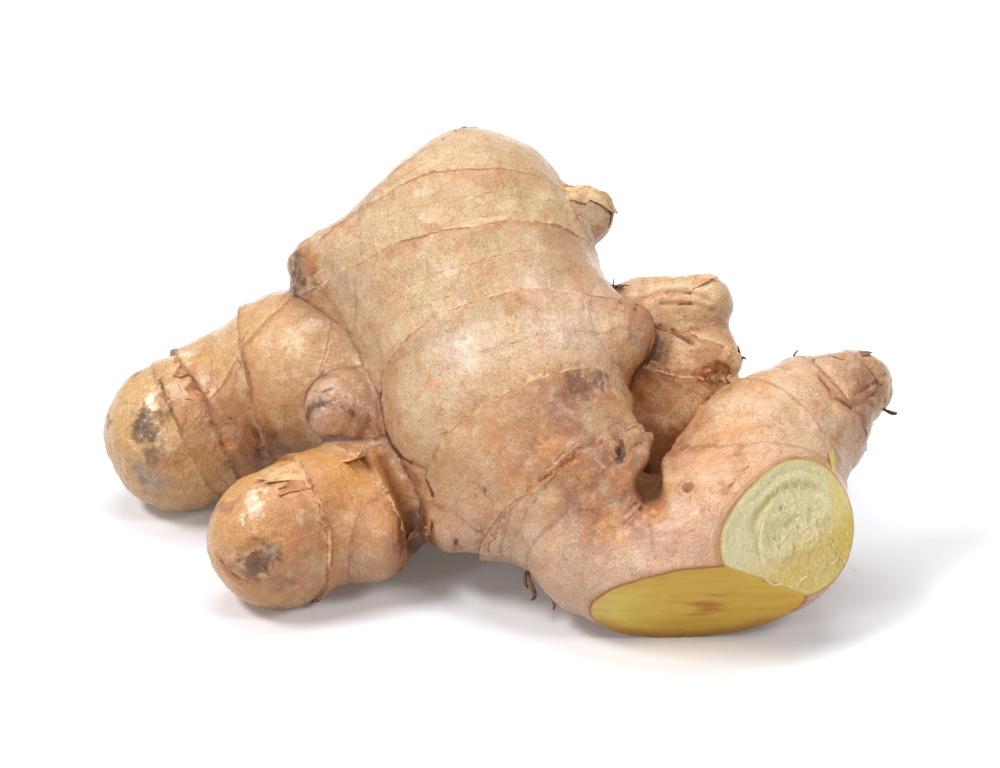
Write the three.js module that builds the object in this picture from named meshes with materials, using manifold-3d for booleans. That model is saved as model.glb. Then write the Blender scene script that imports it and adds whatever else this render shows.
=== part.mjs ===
// A fresh ginger rhizome: one grown solid of swollen shoots ("fingers") with side buds, snapped from its
// parent at one end and trimmed by a knife below the break. It lies on a table, on the small flats that
// its lowest shoots have there. Millimetres, +Z up, origin under the middle of its bounding box.
import * as THREE from "three";
import { mergeVertices } from "three/addons/utils/BufferGeometryUtils.js";
import Module from "manifold-3d";

const CELL = 3.6; // size of the grid cells that the skin is meshed with
const SPAN = 5; // length of the straight steps that a finger's centre line is walked in
const SKIN = 0xcf9f74;

// Each shoot is a path of [x, y, z, radius] stations from its base to its tip. Where it meets the others
// the skin runs over in a fillet about as wide as its blend.
const SHOOTS = {
  core: {
    blend: 5,
    path: [[-19.8, 20, 24, 16], [-1.8, 14, 23, 17], [16.2, 12, 18, 14], [28.2, 10, 14, 13]],
  },
  hand: {
    blend: 5,
    path: [
      [21.2, -21, 19.5, 16],
      [11.2, -13, 25.5, 18.5],
      [4.2, -4, 31, 22],
      [2.2, 4, 36.5, 23],
      [-1.3, 14, 46, 24],
      [-3.8, 21, 54, 22],
      [-2.6, 25, 59, 18.3],
    ],
  },
  left_finger: {
    blend: 4,
    path: [[-19.8, 20, 27, 17], [-33.8, 22, 28.5, 17.5], [-47.8, 23, 22, 15.5], [-61.8, 21.5, 14.8, 15.3]],
  },
  low_finger: {
    blend: 4,
    path: [[-10.8, 6, 16, 12], [-21.8, -5, 14, 12], [-31.8, -13, 14.3, 13], [-39.3, -19, 12.9, 13.3]],
  },
  back_finger: {
    blend: 3,
    path: [[28.2, 9, 13.2, 13], [35.2, 12, 26, 13], [36, 14, 33, 11.5]],
  },
  back_crown: {
    blend: 4,
    path: [[30, 16, 43.2, 8.2], [39.8, 15, 44.8, 6.8]],
  },
  back_collar: {
    blend: 3,
    path: [[36, 12, 32, 11], [42, 9, 37, 7]],
  },
  rear_finger: {
    blend: 4,
    path: [[4.2, 16, 20, 15], [5.2, 27, 15, 13.5], [5.2, 34, 12, 12.4]],
  },
  right_finger: {
    blend: 3,
    path: [[47, -21, 20, 16.3], [52.6, -14, 28.3, 14.6], [61.2, -8.2, 33.2, 11.1], [69.4, -2.3, 36.4, 6.9]],
  },
  foot: {
    blend: 4,
    path: [[21.2, -27, 16, 13.8], [30.2, -29, 14.8, 15.6], [40.2, -29.3, 17, 17.2], [50.7, -27, 19.5, 16.7]],
  },
};

// Buds are short round swellings, with the same four numbers.
const BUDS = {
  crown_bud: { blend: 3, path: [[6, 20, 55, 11], [12.5, 21.5, 59, 7.8], [18.3, 23, 61.2, 5.8]] },
  shoulder_bud: { blend: 7, path: [[9, 6, 41, 15], [18, 3, 44, 10], [24.8, 2, 44.6, 5.9]] },
  cheek_bud: { blend: 7, path: [[-12, 19, 49, 17], [-24, 20, 51.5, 11], [-33, 21, 52, 6]] },
  chin_bud: { blend: 6, path: [[4.2, -16, 20, 10], [-6.3, -17.5, 15.5, 6]] },
  armpit_bud: { blend: 4, path: [[-14, 9, 24, 10], [-24, 4, 27.8, 8.4], [-29, 0, 30.8, 6]] },
  knee_bud: { blend: 4, path: [[-21, -8, 13, 9.5], [-22.2, -18, 12.6, 8.2]] },
};

// Clefts are the deep creases between shoots that grew against each other.
const CLEFTS = {
  right_crotch: {
    blend: 3,
    path: [[29.4, -39, 29.8, 1.3], [29.5, -33, 29.5, 2.1], [29.4, -24, 28, 3.6], [29, -8, 26, 5.6]],
  },
  left_crotch: {
    blend: 3,
    path: [[-18.5, -9.5, 25, 1.4], [-15, -16, 19.5, 2], [-13.6, -20.5, 14, 2.4], [-12.5, -24, 6, 2.8]],
  },
};

// The round cones between a path's stations, with the radii between them eased like the centre line.
function stationsOf(path) {
  const places = path.map(([x, y, z]) => new THREE.Vector3(x, y, z));
  const line = new THREE.CatmullRomCurve3(places, false, "catmullrom");
  const swell = new THREE.SplineCurve(path.map(([, , , radius], i) => new THREE.Vector2(i, radius)));
  const count = Math.max(2, Math.ceil(line.getLength() / SPAN));
  return Array.from({ length: count + 1 }, (_, i) => {
    const at = line.getPoint(i / count);
    return { at, r: swell.getPoint(i / count).y };
  });
}

const walked = ({ blend, path }) => ({ blend, stations: stationsOf(path) });
const shoots = [...Object.values(SHOOTS), ...Object.values(BUDS)].map(walked);
const clefts = Object.values(CLEFTS).map(walked);

function distanceToShoot(p, stations) {
  let least = Infinity;
  for (let i = 1; i < stations.length; i++) {
    const [a, b] = [stations[i - 1], stations[i]];
    const along = b.at.clone().sub(a.at);
    const reach = p.clone().sub(a.at);
    const t = THREE.MathUtils.clamp(reach.dot(along) / along.lengthSq(), 0, 1);
    const gap = reach.addScaledVector(along, -t).length();
    least = Math.min(least, gap - THREE.MathUtils.lerp(a.r, b.r, t));
  }
  return least;
}

// The smaller of two distances, rounded over where they come within the blend of each other.
function smoothMin(a, b, blend) {
  const h = Math.max(blend - Math.abs(a - b), 0) / blend;
  return Math.min(a, b) - (h * h * blend) / 4;
}

// Negative inside the rhizome, and about the distance to its skin near it.
function field(p) {
  let d = 1e3;
  for (const { blend, stations } of shoots) d = smoothMin(d, distanceToShoot(p, stations), blend);
  for (const { blend, stations } of clefts) d = -smoothMin(-d, distanceToShoot(p, stations), blend);
  return d;
}

// A grid of samples over the box, with a way to visit each corner that isn't in the last layers.
function gridOver(box, cell) {
  const size = box.getSize(new THREE.Vector3()).divideScalar(cell);
  const n = [Math.ceil(size.x) + 1, Math.ceil(size.y) + 1, Math.ceil(size.z) + 1];
  const step = [1, n[0], n[0] * n[1]];
  const corner = (i, j, k) => new THREE.Vector3(i, j, k).multiplyScalar(cell).add(box.min);
  const visit = (from, to, each) => {
    for (let k = from; k < n[2] - to; k++)
      for (let j = from; j < n[1] - to; j++)
        for (let i = from; i < n[0] - to; i++) each(i * step[0] + j * step[1] + k * step[2], i, j, k);
  };
  return { step, corner, visit, values: new Float64Array(n[0] * n[1] * n[2]) };
}

// A cell face whose corners alternate between in and out would pinch the skin to a line. Its shallower
// outer corner is taken in, until no such face is left.
function fillPinches({ step, visit, values }) {
  let filled = 0;
  visit(0, 1, (at) => {
    for (let axis = 0; axis < 3; axis++) {
      const u = step[axis];
      const v = step[(axis + 1) % 3];
      const corners = [at, at + u, at + u + v, at + v];
      const inside = corners.map((c) => values[c] < 0);
      if (inside[0] !== inside[2] || inside[1] !== inside[3] || inside[0] === inside[1]) continue;
      const outer = corners.filter((c) => values[c] >= 0);
      const shallow = values[outer[0]] < values[outer[1]] ? outer[0] : outer[1];
      values[shallow] = -Math.max(values[shallow], 1e-3);
      filled++;
    }
  });
  if (filled) fillPinches({ step, visit, values });
}

// Surface nets: one vertex in each cell that the skin passes through, one quad across each crossed edge.
function skinOf(distance, box, cell) {
  const grid = gridOver(box, cell);
  const { step, corner, visit, values } = grid;
  visit(0, 0, (at, i, j, k) => (values[at] = distance(corner(i, j, k))));
  fillPinches(grid);

  const bits = (c) => [c & 1, (c >> 1) & 1, (c >> 2) & 1];
  const indexOf = (at, c) => at + bits(c).reduce((sum, bit, axis) => sum + bit * step[axis], 0);
  const edges = [];
  for (let c = 0; c < 8; c++)
    for (let axis = 0; axis < 3; axis++) if (!bits(c)[axis]) edges.push([c, c | (1 << axis)]);

  const vertices = [];
  const vertexOf = new Map();
  visit(0, 1, (at, i, j, k) => {
    const sum = new THREE.Vector3();
    let crossings = 0;
    for (const [a, b] of edges) {
      const va = values[indexOf(at, a)];
      const vb = values[indexOf(at, b)];
      if (va < 0 === vb < 0) continue;
      const [ai, aj, ak] = bits(a);
      const [bi, bj, bk] = bits(b);
      sum.add(corner(i + ai, j + aj, k + ak).lerp(corner(i + bi, j + bj, k + bk), va / (va - vb)));
      crossings++;
    }
    if (!crossings) return;
    vertexOf.set(at, vertices.length / 3);
    vertices.push(...ontoSkin(sum.divideScalar(crossings), distance));
  });

  const faces = [];
  visit(1, 1, (at) => {
    for (let axis = 0; axis < 3; axis++) {
      const inside = values[at] < 0;
      if (inside === values[at + step[axis]] < 0) continue;
      const u = step[(axis + 1) % 3];
      const v = step[(axis + 2) % 3];
      const [a, b, c, d] = [at - u - v, at - v, at, at - u].map((cellAt) => vertexOf.get(cellAt));
      faces.push(...(inside ? [a, b, c, a, c, d] : [a, c, b, a, d, c]));
    }
  });
  return new THREE.BufferGeometry()
    .setAttribute("position", new THREE.Float32BufferAttribute(vertices, 3))
    .setIndex(faces);
}

// Newton steps along the field's slope bring a point onto the skin.
function ontoSkin(p, distance) {
  const probe = 0.05;
  for (let pass = 0; pass < 3; pass++) {
    const slope = new THREE.Vector3(
      distance(p.clone().setX(p.x + probe)) - distance(p.clone().setX(p.x - probe)),
      distance(p.clone().setY(p.y + probe)) - distance(p.clone().setY(p.y - probe)),
      distance(p.clone().setZ(p.z + probe)) - distance(p.clone().setZ(p.z - probe)),
    ).divideScalar(2 * probe);
    p.addScaledVector(slope, -distance(p) / Math.max(slope.lengthSq(), 0.25));
  }
  return p.toArray();
}

const wasm = await Module();
wasm.setup();

function solidOf(geometry) {
  const bare = new THREE.BufferGeometry()
    .setAttribute("position", geometry.getAttribute("position"))
    .setIndex(geometry.index);
  const merged = mergeVertices(bare, 1e-4);
  return new wasm.Manifold(
    new wasm.Mesh({
      numProp: 3,
      vertProperties: merged.attributes.position.array,
      triVerts: new Uint32Array(merged.index.array),
    }),
  );
}

function geometryOf(solid) {
  const { vertProperties, triVerts } = solid.getMesh();
  const geometry = new THREE.BufferGeometry()
    .setAttribute("position", new THREE.BufferAttribute(vertProperties, 3))
    .setIndex(new THREE.BufferAttribute(triVerts, 1));
  geometry.computeVertexNormals();
  return geometry;
}

// A block whose one face lies on the plane through the point, on the side that the normal faces.
function blockBeyond({ point, normal }, side = 200) {
  const up = new THREE.Vector3(0, 0, 1);
  const turn = new THREE.Quaternion().setFromUnitVectors(up, normal.clone().normalize());
  const block = new THREE.BoxGeometry(side, side, side).translate(0, 0, side / 2).applyQuaternion(turn);
  return solidOf(block.translate(point.x, point.y, point.z));
}

// The two cut faces at the foot, and the table: what lies beyond each plane is gone.
const KNIFE_CUT = { point: new THREE.Vector3(41, -46, 22), normal: new THREE.Vector3(0.02, -0.87, -0.49) };
const SNAP_BREAK = { point: new THREE.Vector3(41, -46, 22.5), normal: new THREE.Vector3(0.5, -0.78, 0.38) };
const TABLE = { point: new THREE.Vector3(0, 0, 0), normal: new THREE.Vector3(0, 0, -1) };

const reach = new THREE.Box3(new THREE.Vector3(-84, -56, -8), new THREE.Vector3(86, 54, 84));
let rhizome = solidOf(skinOf(field, reach, CELL));
for (const plane of [KNIFE_CUT, SNAP_BREAK, TABLE]) rhizome = rhizome.subtract(blockBeyond(plane));

const ginger = new THREE.Group();
const skin = new THREE.Mesh(
  geometryOf(rhizome),
  new THREE.MeshStandardMaterial({ color: SKIN, roughness: 0.55, metalness: 0 }),
);
skin.name = "ginger_rhizome";
ginger.add(skin);

export default ginger;
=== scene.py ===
"""Ginger root in Blender: skin, cut flesh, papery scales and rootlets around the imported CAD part."""

import itertools
import math
from types import SimpleNamespace

import bpy
import numpy as np
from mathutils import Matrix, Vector


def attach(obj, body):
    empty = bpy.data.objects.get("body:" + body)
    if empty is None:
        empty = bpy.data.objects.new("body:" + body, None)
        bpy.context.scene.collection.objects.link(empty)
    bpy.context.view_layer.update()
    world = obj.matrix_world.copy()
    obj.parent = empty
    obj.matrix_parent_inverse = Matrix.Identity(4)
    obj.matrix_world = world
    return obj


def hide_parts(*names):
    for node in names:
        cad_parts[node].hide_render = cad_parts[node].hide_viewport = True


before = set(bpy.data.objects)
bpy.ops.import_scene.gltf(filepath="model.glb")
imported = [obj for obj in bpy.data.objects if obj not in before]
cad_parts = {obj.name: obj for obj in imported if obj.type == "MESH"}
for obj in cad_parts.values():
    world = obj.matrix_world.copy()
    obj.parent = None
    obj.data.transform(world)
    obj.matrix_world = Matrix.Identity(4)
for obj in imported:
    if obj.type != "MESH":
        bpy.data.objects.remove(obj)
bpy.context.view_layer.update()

# Shape code and tables work in millimetres; Blender meshes are in metres.
MM = 0.001
SPAN = 5.0  # the most between two stations of a shoot
REACH = 12.0  # past this, a shoot's distance no longer matters
FAR = 99.0  # stands for a distance out of reach
SKIN_VOXEL = 0.36
SKIN_TRIANGLES = 190000
FLESH_INSET = 0.06
FLESH_DEPTH = 3.0
FLESH_REACH = 34.0  # no cut face is wider than this from its centre
RIM_ROUNDING = 0.4
SHEET_THICKNESS = 0.14

# The same round cones as in the CAD part: blend, then x, y, z and radius along each path.
SHOOTS = {
    "core": (5, [(-19.8, 20, 24, 16), (-1.8, 14, 23, 17), (16.2, 12, 18, 14), (28.2, 10, 14, 13)]),
    "hand": (5, [(21.2, -21, 19.5, 16), (11.2, -13, 25.5, 18.5), (4.2, -4, 31, 22), (2.2, 4, 36.5, 23),
                 (-1.3, 14, 46, 24), (-3.8, 21, 54, 22), (-2.6, 25, 59, 18.3)]),
    "left_finger": (4, [(-19.8, 20, 27, 17), (-33.8, 22, 28.5, 17.5), (-47.8, 23, 22, 15.5),
                        (-61.8, 21.5, 14.8, 15.3)]),
    "low_finger": (4, [(-10.8, 6, 16, 12), (-21.8, -5, 14, 12), (-31.8, -13, 14.3, 13),
                       (-39.3, -19, 12.9, 13.3)]),
    "back_finger": (3, [(28.2, 9, 13.2, 13), (35.2, 12, 26, 13), (36, 14, 33, 11.5)]),
    "back_crown": (4, [(30, 16, 43.2, 8.2), (39.8, 15, 44.8, 6.8)]),
    "back_collar": (3, [(36, 12, 32, 11), (42, 9, 37, 7)]),
    "rear_finger": (4, [(4.2, 16, 20, 15), (5.2, 27, 15, 13.5), (5.2, 34, 12, 12.4)]),
    "right_finger": (3, [(47, -21, 20, 16.3), (52.6, -14, 28.3, 14.6), (61.2, -8.2, 33.2, 11.1),
                         (69.4, -2.3, 36.4, 6.9)]),
    "foot": (4, [(21.2, -27, 16, 13.8), (30.2, -29, 14.8, 15.6), (40.2, -29.3, 17, 17.2),
                 (50.7, -27, 19.5, 16.7)]),
    "crown_bud": (3, [(6, 20, 55, 11), (12.5, 21.5, 59, 7.8), (18.3, 23, 61.2, 5.8)]),
    "shoulder_bud": (7, [(9, 6, 41, 15), (18, 3, 44, 10), (24.8, 2, 44.6, 5.9)]),
    "cheek_bud": (7, [(-12, 19, 49, 17), (-24, 20, 51.5, 11), (-33, 21, 52, 6)]),
    "chin_bud": (6, [(4.2, -16, 20, 10), (-6.3, -17.5, 15.5, 6)]),
    "armpit_bud": (4, [(-14, 9, 24, 10), (-24, 4, 27.8, 8.4), (-29, 0, 30.8, 6)]),
    "knee_bud": (4, [(-21, -8, 13, 9.5), (-22.2, -18, 12.6, 8.2)]),
}
# Narrow gaps cut into the body, in the same form as the shoots.
CLEFTS = {
    "right_crotch": (3, [(29.4, -39, 29.8, 1.3), (29.5, -33, 29.5, 2.1), (29.4, -24, 28, 3.6),
                         (29, -8, 26, 5.6)]),
    "left_crotch": (3, [(-18.5, -9.5, 25, 1.4), (-15, -16, 19.5, 2), (-13.6, -20.5, 14, 2.4),
                        (-12.5, -24, 6, 2.8)]),
}
# Shoots that share their rings.
FAMILIES = {
    "hand": ("hand", "crown_bud", "shoulder_bud", "cheek_bud", "chin_bud"),
    "left": ("left_finger", "core"),
    "low": ("low_finger", "knee_bud"),
    "back": ("back_finger", "back_crown", "back_collar"),
    "rear": ("rear_finger",),
    "right": ("right_finger",),
    "foot": ("foot",),
    "armpit": ("armpit_bud",),
}
# The knife cut and the snapped face: a point on each plane, the way out, and a point near the middle.
KNIFE_POINT, KNIFE_NORMAL, KNIFE_MIDDLE = (41, -46, 22), (0.02, -0.87, -0.49), (38.0, -39.5, 11.0)
SNAP_POINT, SNAP_NORMAL, SNAP_MIDDLE = (41, -46, 22.5), (0.5, -0.78, 0.38), (54.0, -34.0, 25.0)
SNAP_ROLL = (-0.66, -0.16, 0.74)  # the way to the rim that rolls over

# Rings: family, a point on the ring, the way towards the tip, step in mm, and darkness.
RINGS = [
    ("hand", (-15.4, 23.5, 70.5), (-0.59, 0.68, 0.45), 0.22, 0.5),
    ("hand", (-5.2, 15.4, 71.1), (-0.11, 0.89, 0.45), 0.42, 0.75),
    ("hand", (0, 7.5, 62.5), (-0.13, 0.72, 0.68), 0.7, 1.0),
    ("hand", (-2.8, -5.4, 51), (-0.25, 0.86, 0.45), 0.75, 0.9),
    ("hand", (5.2, -19.5, 42.5), (-0.42, 0.78, 0.47), 0.75, 0.75),
    ("hand", (12.1, -29.9, 31.6), (-0.51, 0.62, 0.59), 0.75, 0.7),
    ("hand", (4, -29.3, 20.3), (-0.63, 0.67, 0.39), 0.2, 0.4),
    ("left", (-65.5, 17, 28.6), (-0.89, -0.15, -0.44), 0.25, 0.6),
    ("left", (-55.1, 11.2, 25.7), (-0.88, -0.37, -0.3), 0.6, 0.9),
    ("left", (-45.8, 9, 29.6), (-0.98, -0.12, -0.18), 0.55, 0.9),
    ("left", (-42.4, 15.9, 42.4), (-0.75, 0.53, 0.4), 0.2, 0.5),
    ("left", (-31.3, 7.8, 39), (-0.97, 0.2, 0.13), 0.2, 0.5),
    ("low", (-30.3, -25.5, 17.9), (-0.87, -0.5, 0.06), 0.5, 0.8),
    ("low", (-17.7, -18.1, 17.4), (-0.75, -0.66, 0.01), 0.35, 0.7),
    ("back", (35.5, 8.5, 42.7), (0.28, 0.5, 0.82), 0.4, 0.8),
    ("back", (38, 12, 34), (0.2, 0.25, 0.95), 0.45, 0.9),
    ("right", (65, -11.3, 39.2), (0.77, 0.54, 0.34), 0.35, 0.6),
    ("right", (57, -12, 30), (0.68, 0.6, 0.42), 0.25, 0.5),
    ("rear", (5, 33, 13), (0.1, 0.9, -0.4), 0.35, 0.8),
]


def unit(vector):
    """The vector at length one."""
    vector = np.asarray(vector, float)
    return vector / np.linalg.norm(vector)


def sizes(vectors):
    """The length of each vector."""
    return np.linalg.norm(vectors, axis=1)


def units(vectors):
    """Each vector at length one."""
    return vectors / sizes(vectors)[:, None]


def smooth(value, low, high):
    """0 below low, 1 above high, and an even S between them."""
    part = np.clip((value - low) / (high - low), 0, 1)
    return part * part * (3 - 2 * part)


class Noise:
    """Smooth seeded noise in space, about -1 to 1."""

    def __init__(self, seed):
        rng = np.random.default_rng(seed)
        self.order = rng.permutation(256)
        self.slopes = units(rng.normal(size=(256, 3)))

    def at(self, points, size):
        """The noise at each point, with features about size mm across."""
        scaled = points / size
        base = np.floor(scaled).astype(int)
        part = scaled - base
        fade = part ** 3 * (part * (part * 6 - 15) + 10)
        total = np.zeros(len(points))
        for corner in itertools.product((0, 1), repeat=3):
            cell = base + corner
            key = self.order[cell[:, 0] & 255]
            key = self.order[(key + cell[:, 1]) & 255]
            key = self.order[(key + cell[:, 2]) & 255]
            weight = np.prod(np.where(corner, fade, 1 - fade), axis=1)
            total += weight * np.sum(self.slopes[key] * (part - corner), axis=1)
        return total * 1.7


LUMPS = Noise(11)
WOBBLE = Noise(23)
WRINKLE = Noise(37)
TEAR = Noise(51)


def stations_of(path):
    """Points along the smooth curve through the path, SPAN apart or a little less."""
    path = np.array(path, float)
    knots = np.vstack([2 * path[0] - path[1], path, 2 * path[-1] - path[-2]])

    def at(place):
        start = min(int(place), len(path) - 2)
        t = place - start
        a, b, c, d = knots[start:start + 4]
        return 0.5 * (2 * b + (c - a) * t + (2 * a - 5 * b + 4 * c - d) * t ** 2
                      + (3 * b - a - 3 * c + d) * t ** 3)

    last = len(path) - 1
    walk = np.array([at(place) for place in np.linspace(0, last, 200)])
    length = sizes(np.diff(walk[:, :3], axis=0)).sum()
    count = max(2, math.ceil(length / SPAN))
    return np.array([at(last * k / count) for k in range(count + 1)])


class Shoot:
    """A round cone bent along a curve."""

    def __init__(self, blend, path):
        self.blend = blend
        stations = stations_of(path)
        self.centres = stations[:, :3]
        self.radii = stations[:, 3]
        steps = np.diff(self.centres, axis=0)
        self.lengths = sizes(steps)
        self.directions = steps / self.lengths[:, None]
        self.starts = np.concatenate([[0], np.cumsum(self.lengths)])
        self.heading = unit(self.centres[-1] - self.centres[0])
        self.low = (self.centres - self.radii[:, None]).min(0) - REACH
        self.high = (self.centres + self.radii[:, None]).max(0) + REACH

    def nearest(self, points):
        """For each point: gap to the shoot, way out from its axis, and how far along the shoot it is."""
        gap = np.full(len(points), FAR)
        out = np.zeros((len(points), 3))
        out[:, 2] = 1
        along = np.zeros(len(points))
        here = np.flatnonzero(np.all((points > self.low) & (points < self.high), axis=1))
        inside = points[here]
        for k, length in enumerate(self.lengths):
            offset = inside - self.centres[k]
            t = np.clip(offset @ self.directions[k] / length, 0, 1)
            away = offset - np.outer(t * length, self.directions[k])
            distance = sizes(away)
            found = distance - (self.radii[k] + (self.radii[k + 1] - self.radii[k]) * t)
            closer = found < gap[here]
            rows = here[closer]
            gap[rows] = found[closer]
            out[rows] = away[closer] / np.maximum(distance[closer], 1e-9)[:, None]
            along[rows] = self.starts[k] + t[closer] * length
        return gap, out, along


BODY = {name: Shoot(*row) for name, row in SHOOTS.items()}
CREASES = [Shoot(*row) for row in CLEFTS.values()]


def joined(a, slope_a, b, slope_b, blend):
    """The smooth union of two distances, its slope, and how sharply the two meet."""
    near = np.clip(blend - np.abs(a - b), 0, None) / blend
    share = np.where(b < a, 1 - near / 2, near / 2)[:, None]
    distance = np.minimum(a, b) - near * near * blend / 4
    slope = slope_a * (1 - share) + slope_b * share
    crease = near * (1 - np.sum(slope_a * slope_b, axis=1))
    return distance, slope, crease


class Reading:
    """What the body's shape says at many points: distance, slope, creases, families and grain."""

    def __init__(self, points):
        count = len(points)
        self.distance = np.full(count, 1e3)
        self.slope = np.zeros((count, 3))
        self.crease = np.zeros(count)
        self.gaps = {}
        self.left_to_tip = np.full(count, FAR)
        self.grain = points.copy()
        nearest = np.full(count, FAR)
        for offset, (name, shoot) in enumerate(BODY.items()):
            gap, out, along = shoot.nearest(points)
            self.gaps[name] = gap
            self.distance, self.slope, crease = joined(self.distance, self.slope, gap, out, shoot.blend)
            self.crease = np.maximum(self.crease, crease)
            closer = gap < nearest
            nearest[closer] = gap[closer]
            stretched = 0.1 * along[:, None] * shoot.heading + 31.0 * offset
            ends = gap[:, None] + shoot.radii.mean()
            self.grain[closer] = (out * ends + stretched)[closer]
            self.left_to_tip[closer] = (shoot.starts[-1] - along)[closer]
        for cleft in CREASES:
            gap, out, _ = cleft.nearest(points)
            inner, slope, _ = joined(-self.distance, -self.slope, gap, out, cleft.blend)
            self.distance, self.slope = -inner, -slope
            self.crease = np.maximum(self.crease, smooth(gap, 2.5, 0))

    def family(self, name):
        """How far each point belongs to one family of shoots, 0 to 1."""
        own = np.min([self.gaps[shoot] for shoot in FAMILIES[name]], axis=0)
        others = [self.gaps[shoot] for other, shoots in FAMILIES.items() if other != name for shoot in shoots]
        return smooth(np.min(others, axis=0) - own, -0.5, 1.5)


def past_plane(points, point, normal):
    """Signed distance beyond a plane."""
    return (points - np.array(point, float)) @ unit(normal)


def onto_plane(place, point, normal):
    """The place on a plane that is nearest to another place."""
    return np.array(place) - unit(normal) * past_plane(np.array(place), point, normal)


KNIFE_CENTRE = onto_plane(KNIFE_MIDDLE, KNIFE_POINT, KNIFE_NORMAL)
SNAP_CENTRE = onto_plane(SNAP_MIDDLE, SNAP_POINT, SNAP_NORMAL)


def towards_roll(points):
    """How far points lie from the snapped face's middle towards its rolled rim."""
    return (points - np.array(SNAP_MIDDLE)) @ unit(SNAP_ROLL)


def cut_distances(points, depth):
    """Signed distances beyond the knife cut and beyond the snapped face, whose upper rim rolls over."""
    knife = past_plane(points, KNIFE_POINT, KNIFE_NORMAL)
    snap = past_plane(points, SNAP_POINT, SNAP_NORMAL)
    roll = 0.5 * smooth(towards_roll(points), -3, 6) * np.exp(-np.clip(depth, 0, None) / 2.6)
    return knife, snap + roll


def trimmed(points, reading):
    """Distance and slope of the body once both cuts are off and their faces sunk to hold the flesh."""
    distance, slope = reading.distance, reading.slope
    knife, snap = cut_distances(points, -distance)
    under_knife = 0.9 * smooth(-distance, 0.4, 1.3)
    under_snap = 1.7 * smooth(-distance, 0.4, 1.6)
    for cut, normal in ((knife + under_knife, KNIFE_NORMAL), (snap + under_snap, SNAP_NORMAL)):
        normals = np.tile(unit(normal), (len(points), 1))
        inner, inner_slope, _ = joined(-distance, -slope, -cut, -normals, RIM_ROUNDING)
        distance, slope = -inner, -inner_slope
    return distance, slope


def onto_skin(points, rounds=3):
    """Moves points along the slope until they lie on the body's surface."""
    for _ in range(rounds):
        distance, slope = trimmed(points, Reading(points))
        steepness = np.maximum(np.sum(slope * slope, axis=1), 0.3)
        points = points - slope * (distance / steepness)[:, None]
    return points


def ring_wobble(points):
    """How far the ring lines stray from their planes."""
    return 0.9 * WOBBLE.at(points, 10) + 0.2 * WOBBLE.at(points, 2.6) + 0.07 * TEAR.at(points, 1.0)


def ring_marks(points, reading):
    """The rings' relief, the signed distance past the nearest ring, and that ring's darkness."""
    gap = np.full(len(points), FAR)
    rise = np.zeros(len(points))
    dark = np.zeros(len(points))
    wobble = ring_wobble(points)
    for family, point, normal, step, darkness in RINGS:
        member = reading.family(family)
        past = past_plane(points, point, normal) + wobble
        rise += member * ring_relief(past, step)
        closer = (np.abs(past) < np.abs(gap)) & (member > 0.02)
        gap[closer] = past[closer]
        dark[closer] = (darkness * member)[closer]
    return rise, gap, dark


def ring_relief(gap, step):
    """Skin swells up to a ring, drops just past it, and fills out again."""
    below, past = np.clip(gap, None, 0), np.clip(gap, 0, None)
    swell = 0.5 * np.exp(below / 1.8) + 0.8 * np.exp(below / 8)
    dip = -0.5 * np.exp(-past / 1.1) - 0.5 * np.exp(-past / 7)
    beyond = smooth(gap, -0.15, 0.2)
    return step * (swell * (1 - beyond) + dip * beyond)


# Root scars: x, y, z, radius and depth.
PITS = [
    (36, -36, 32, 1.0, 1.6), (24, -27, 35, 0.9, 1.2), (24.5, -27, 33, 1.0, 1.6), (40, -43, 27, 0.8, 0.5),
    (-2, -26, 28, 0.6, 0.4), (-42, -32, 14, 1.6, 0.7), (-68, 8, 11, 1.0, 0.4), (-31, -4, 36, 1.0, 0.5),
]


def pit_relief(points):
    """Small round scars where roots came away."""
    total = np.zeros(len(points))
    for x, y, z, radius, depth in PITS:
        distance = sizes(points - (x, y, z))
        total -= depth * smooth(distance, radius * 1.3, radius * 0.3)
        total += 0.25 * depth * np.exp(-((distance - radius * 1.5) / (0.5 * radius)) ** 2)
    return total


# Crumpled scars: centre, radius and depth.
SCARS = [
    ((-66, 9, 21), 5.5, 0.7), ((-69, 9, 12), 4, 0.5), ((43.5, 4, 36.5), 3.6, 1.7),
    ((17, -17, 44), 4.5, 0.4), ((-30, -6, 35), 4.5, 0.5), ((-43, -31, 15), 4, 0.4), ((-36, 19, 51), 4, 0.5),
]


def scar_relief(points):
    """Sunken, crumpled patches where the skin tore or dried."""
    total = np.zeros(len(points))
    for centre, radius, depth in SCARS:
        distance = sizes(points - centre) + 0.35 * radius * TEAR.at(points, 0.6 * radius)
        inside = smooth(distance, radius, 0.6 * radius)
        total -= depth * inside * (0.6 + 0.4 * np.abs(WRINKLE.at(points, 1.7)) + 0.3 * TEAR.at(points, 0.9))
    return total


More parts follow.
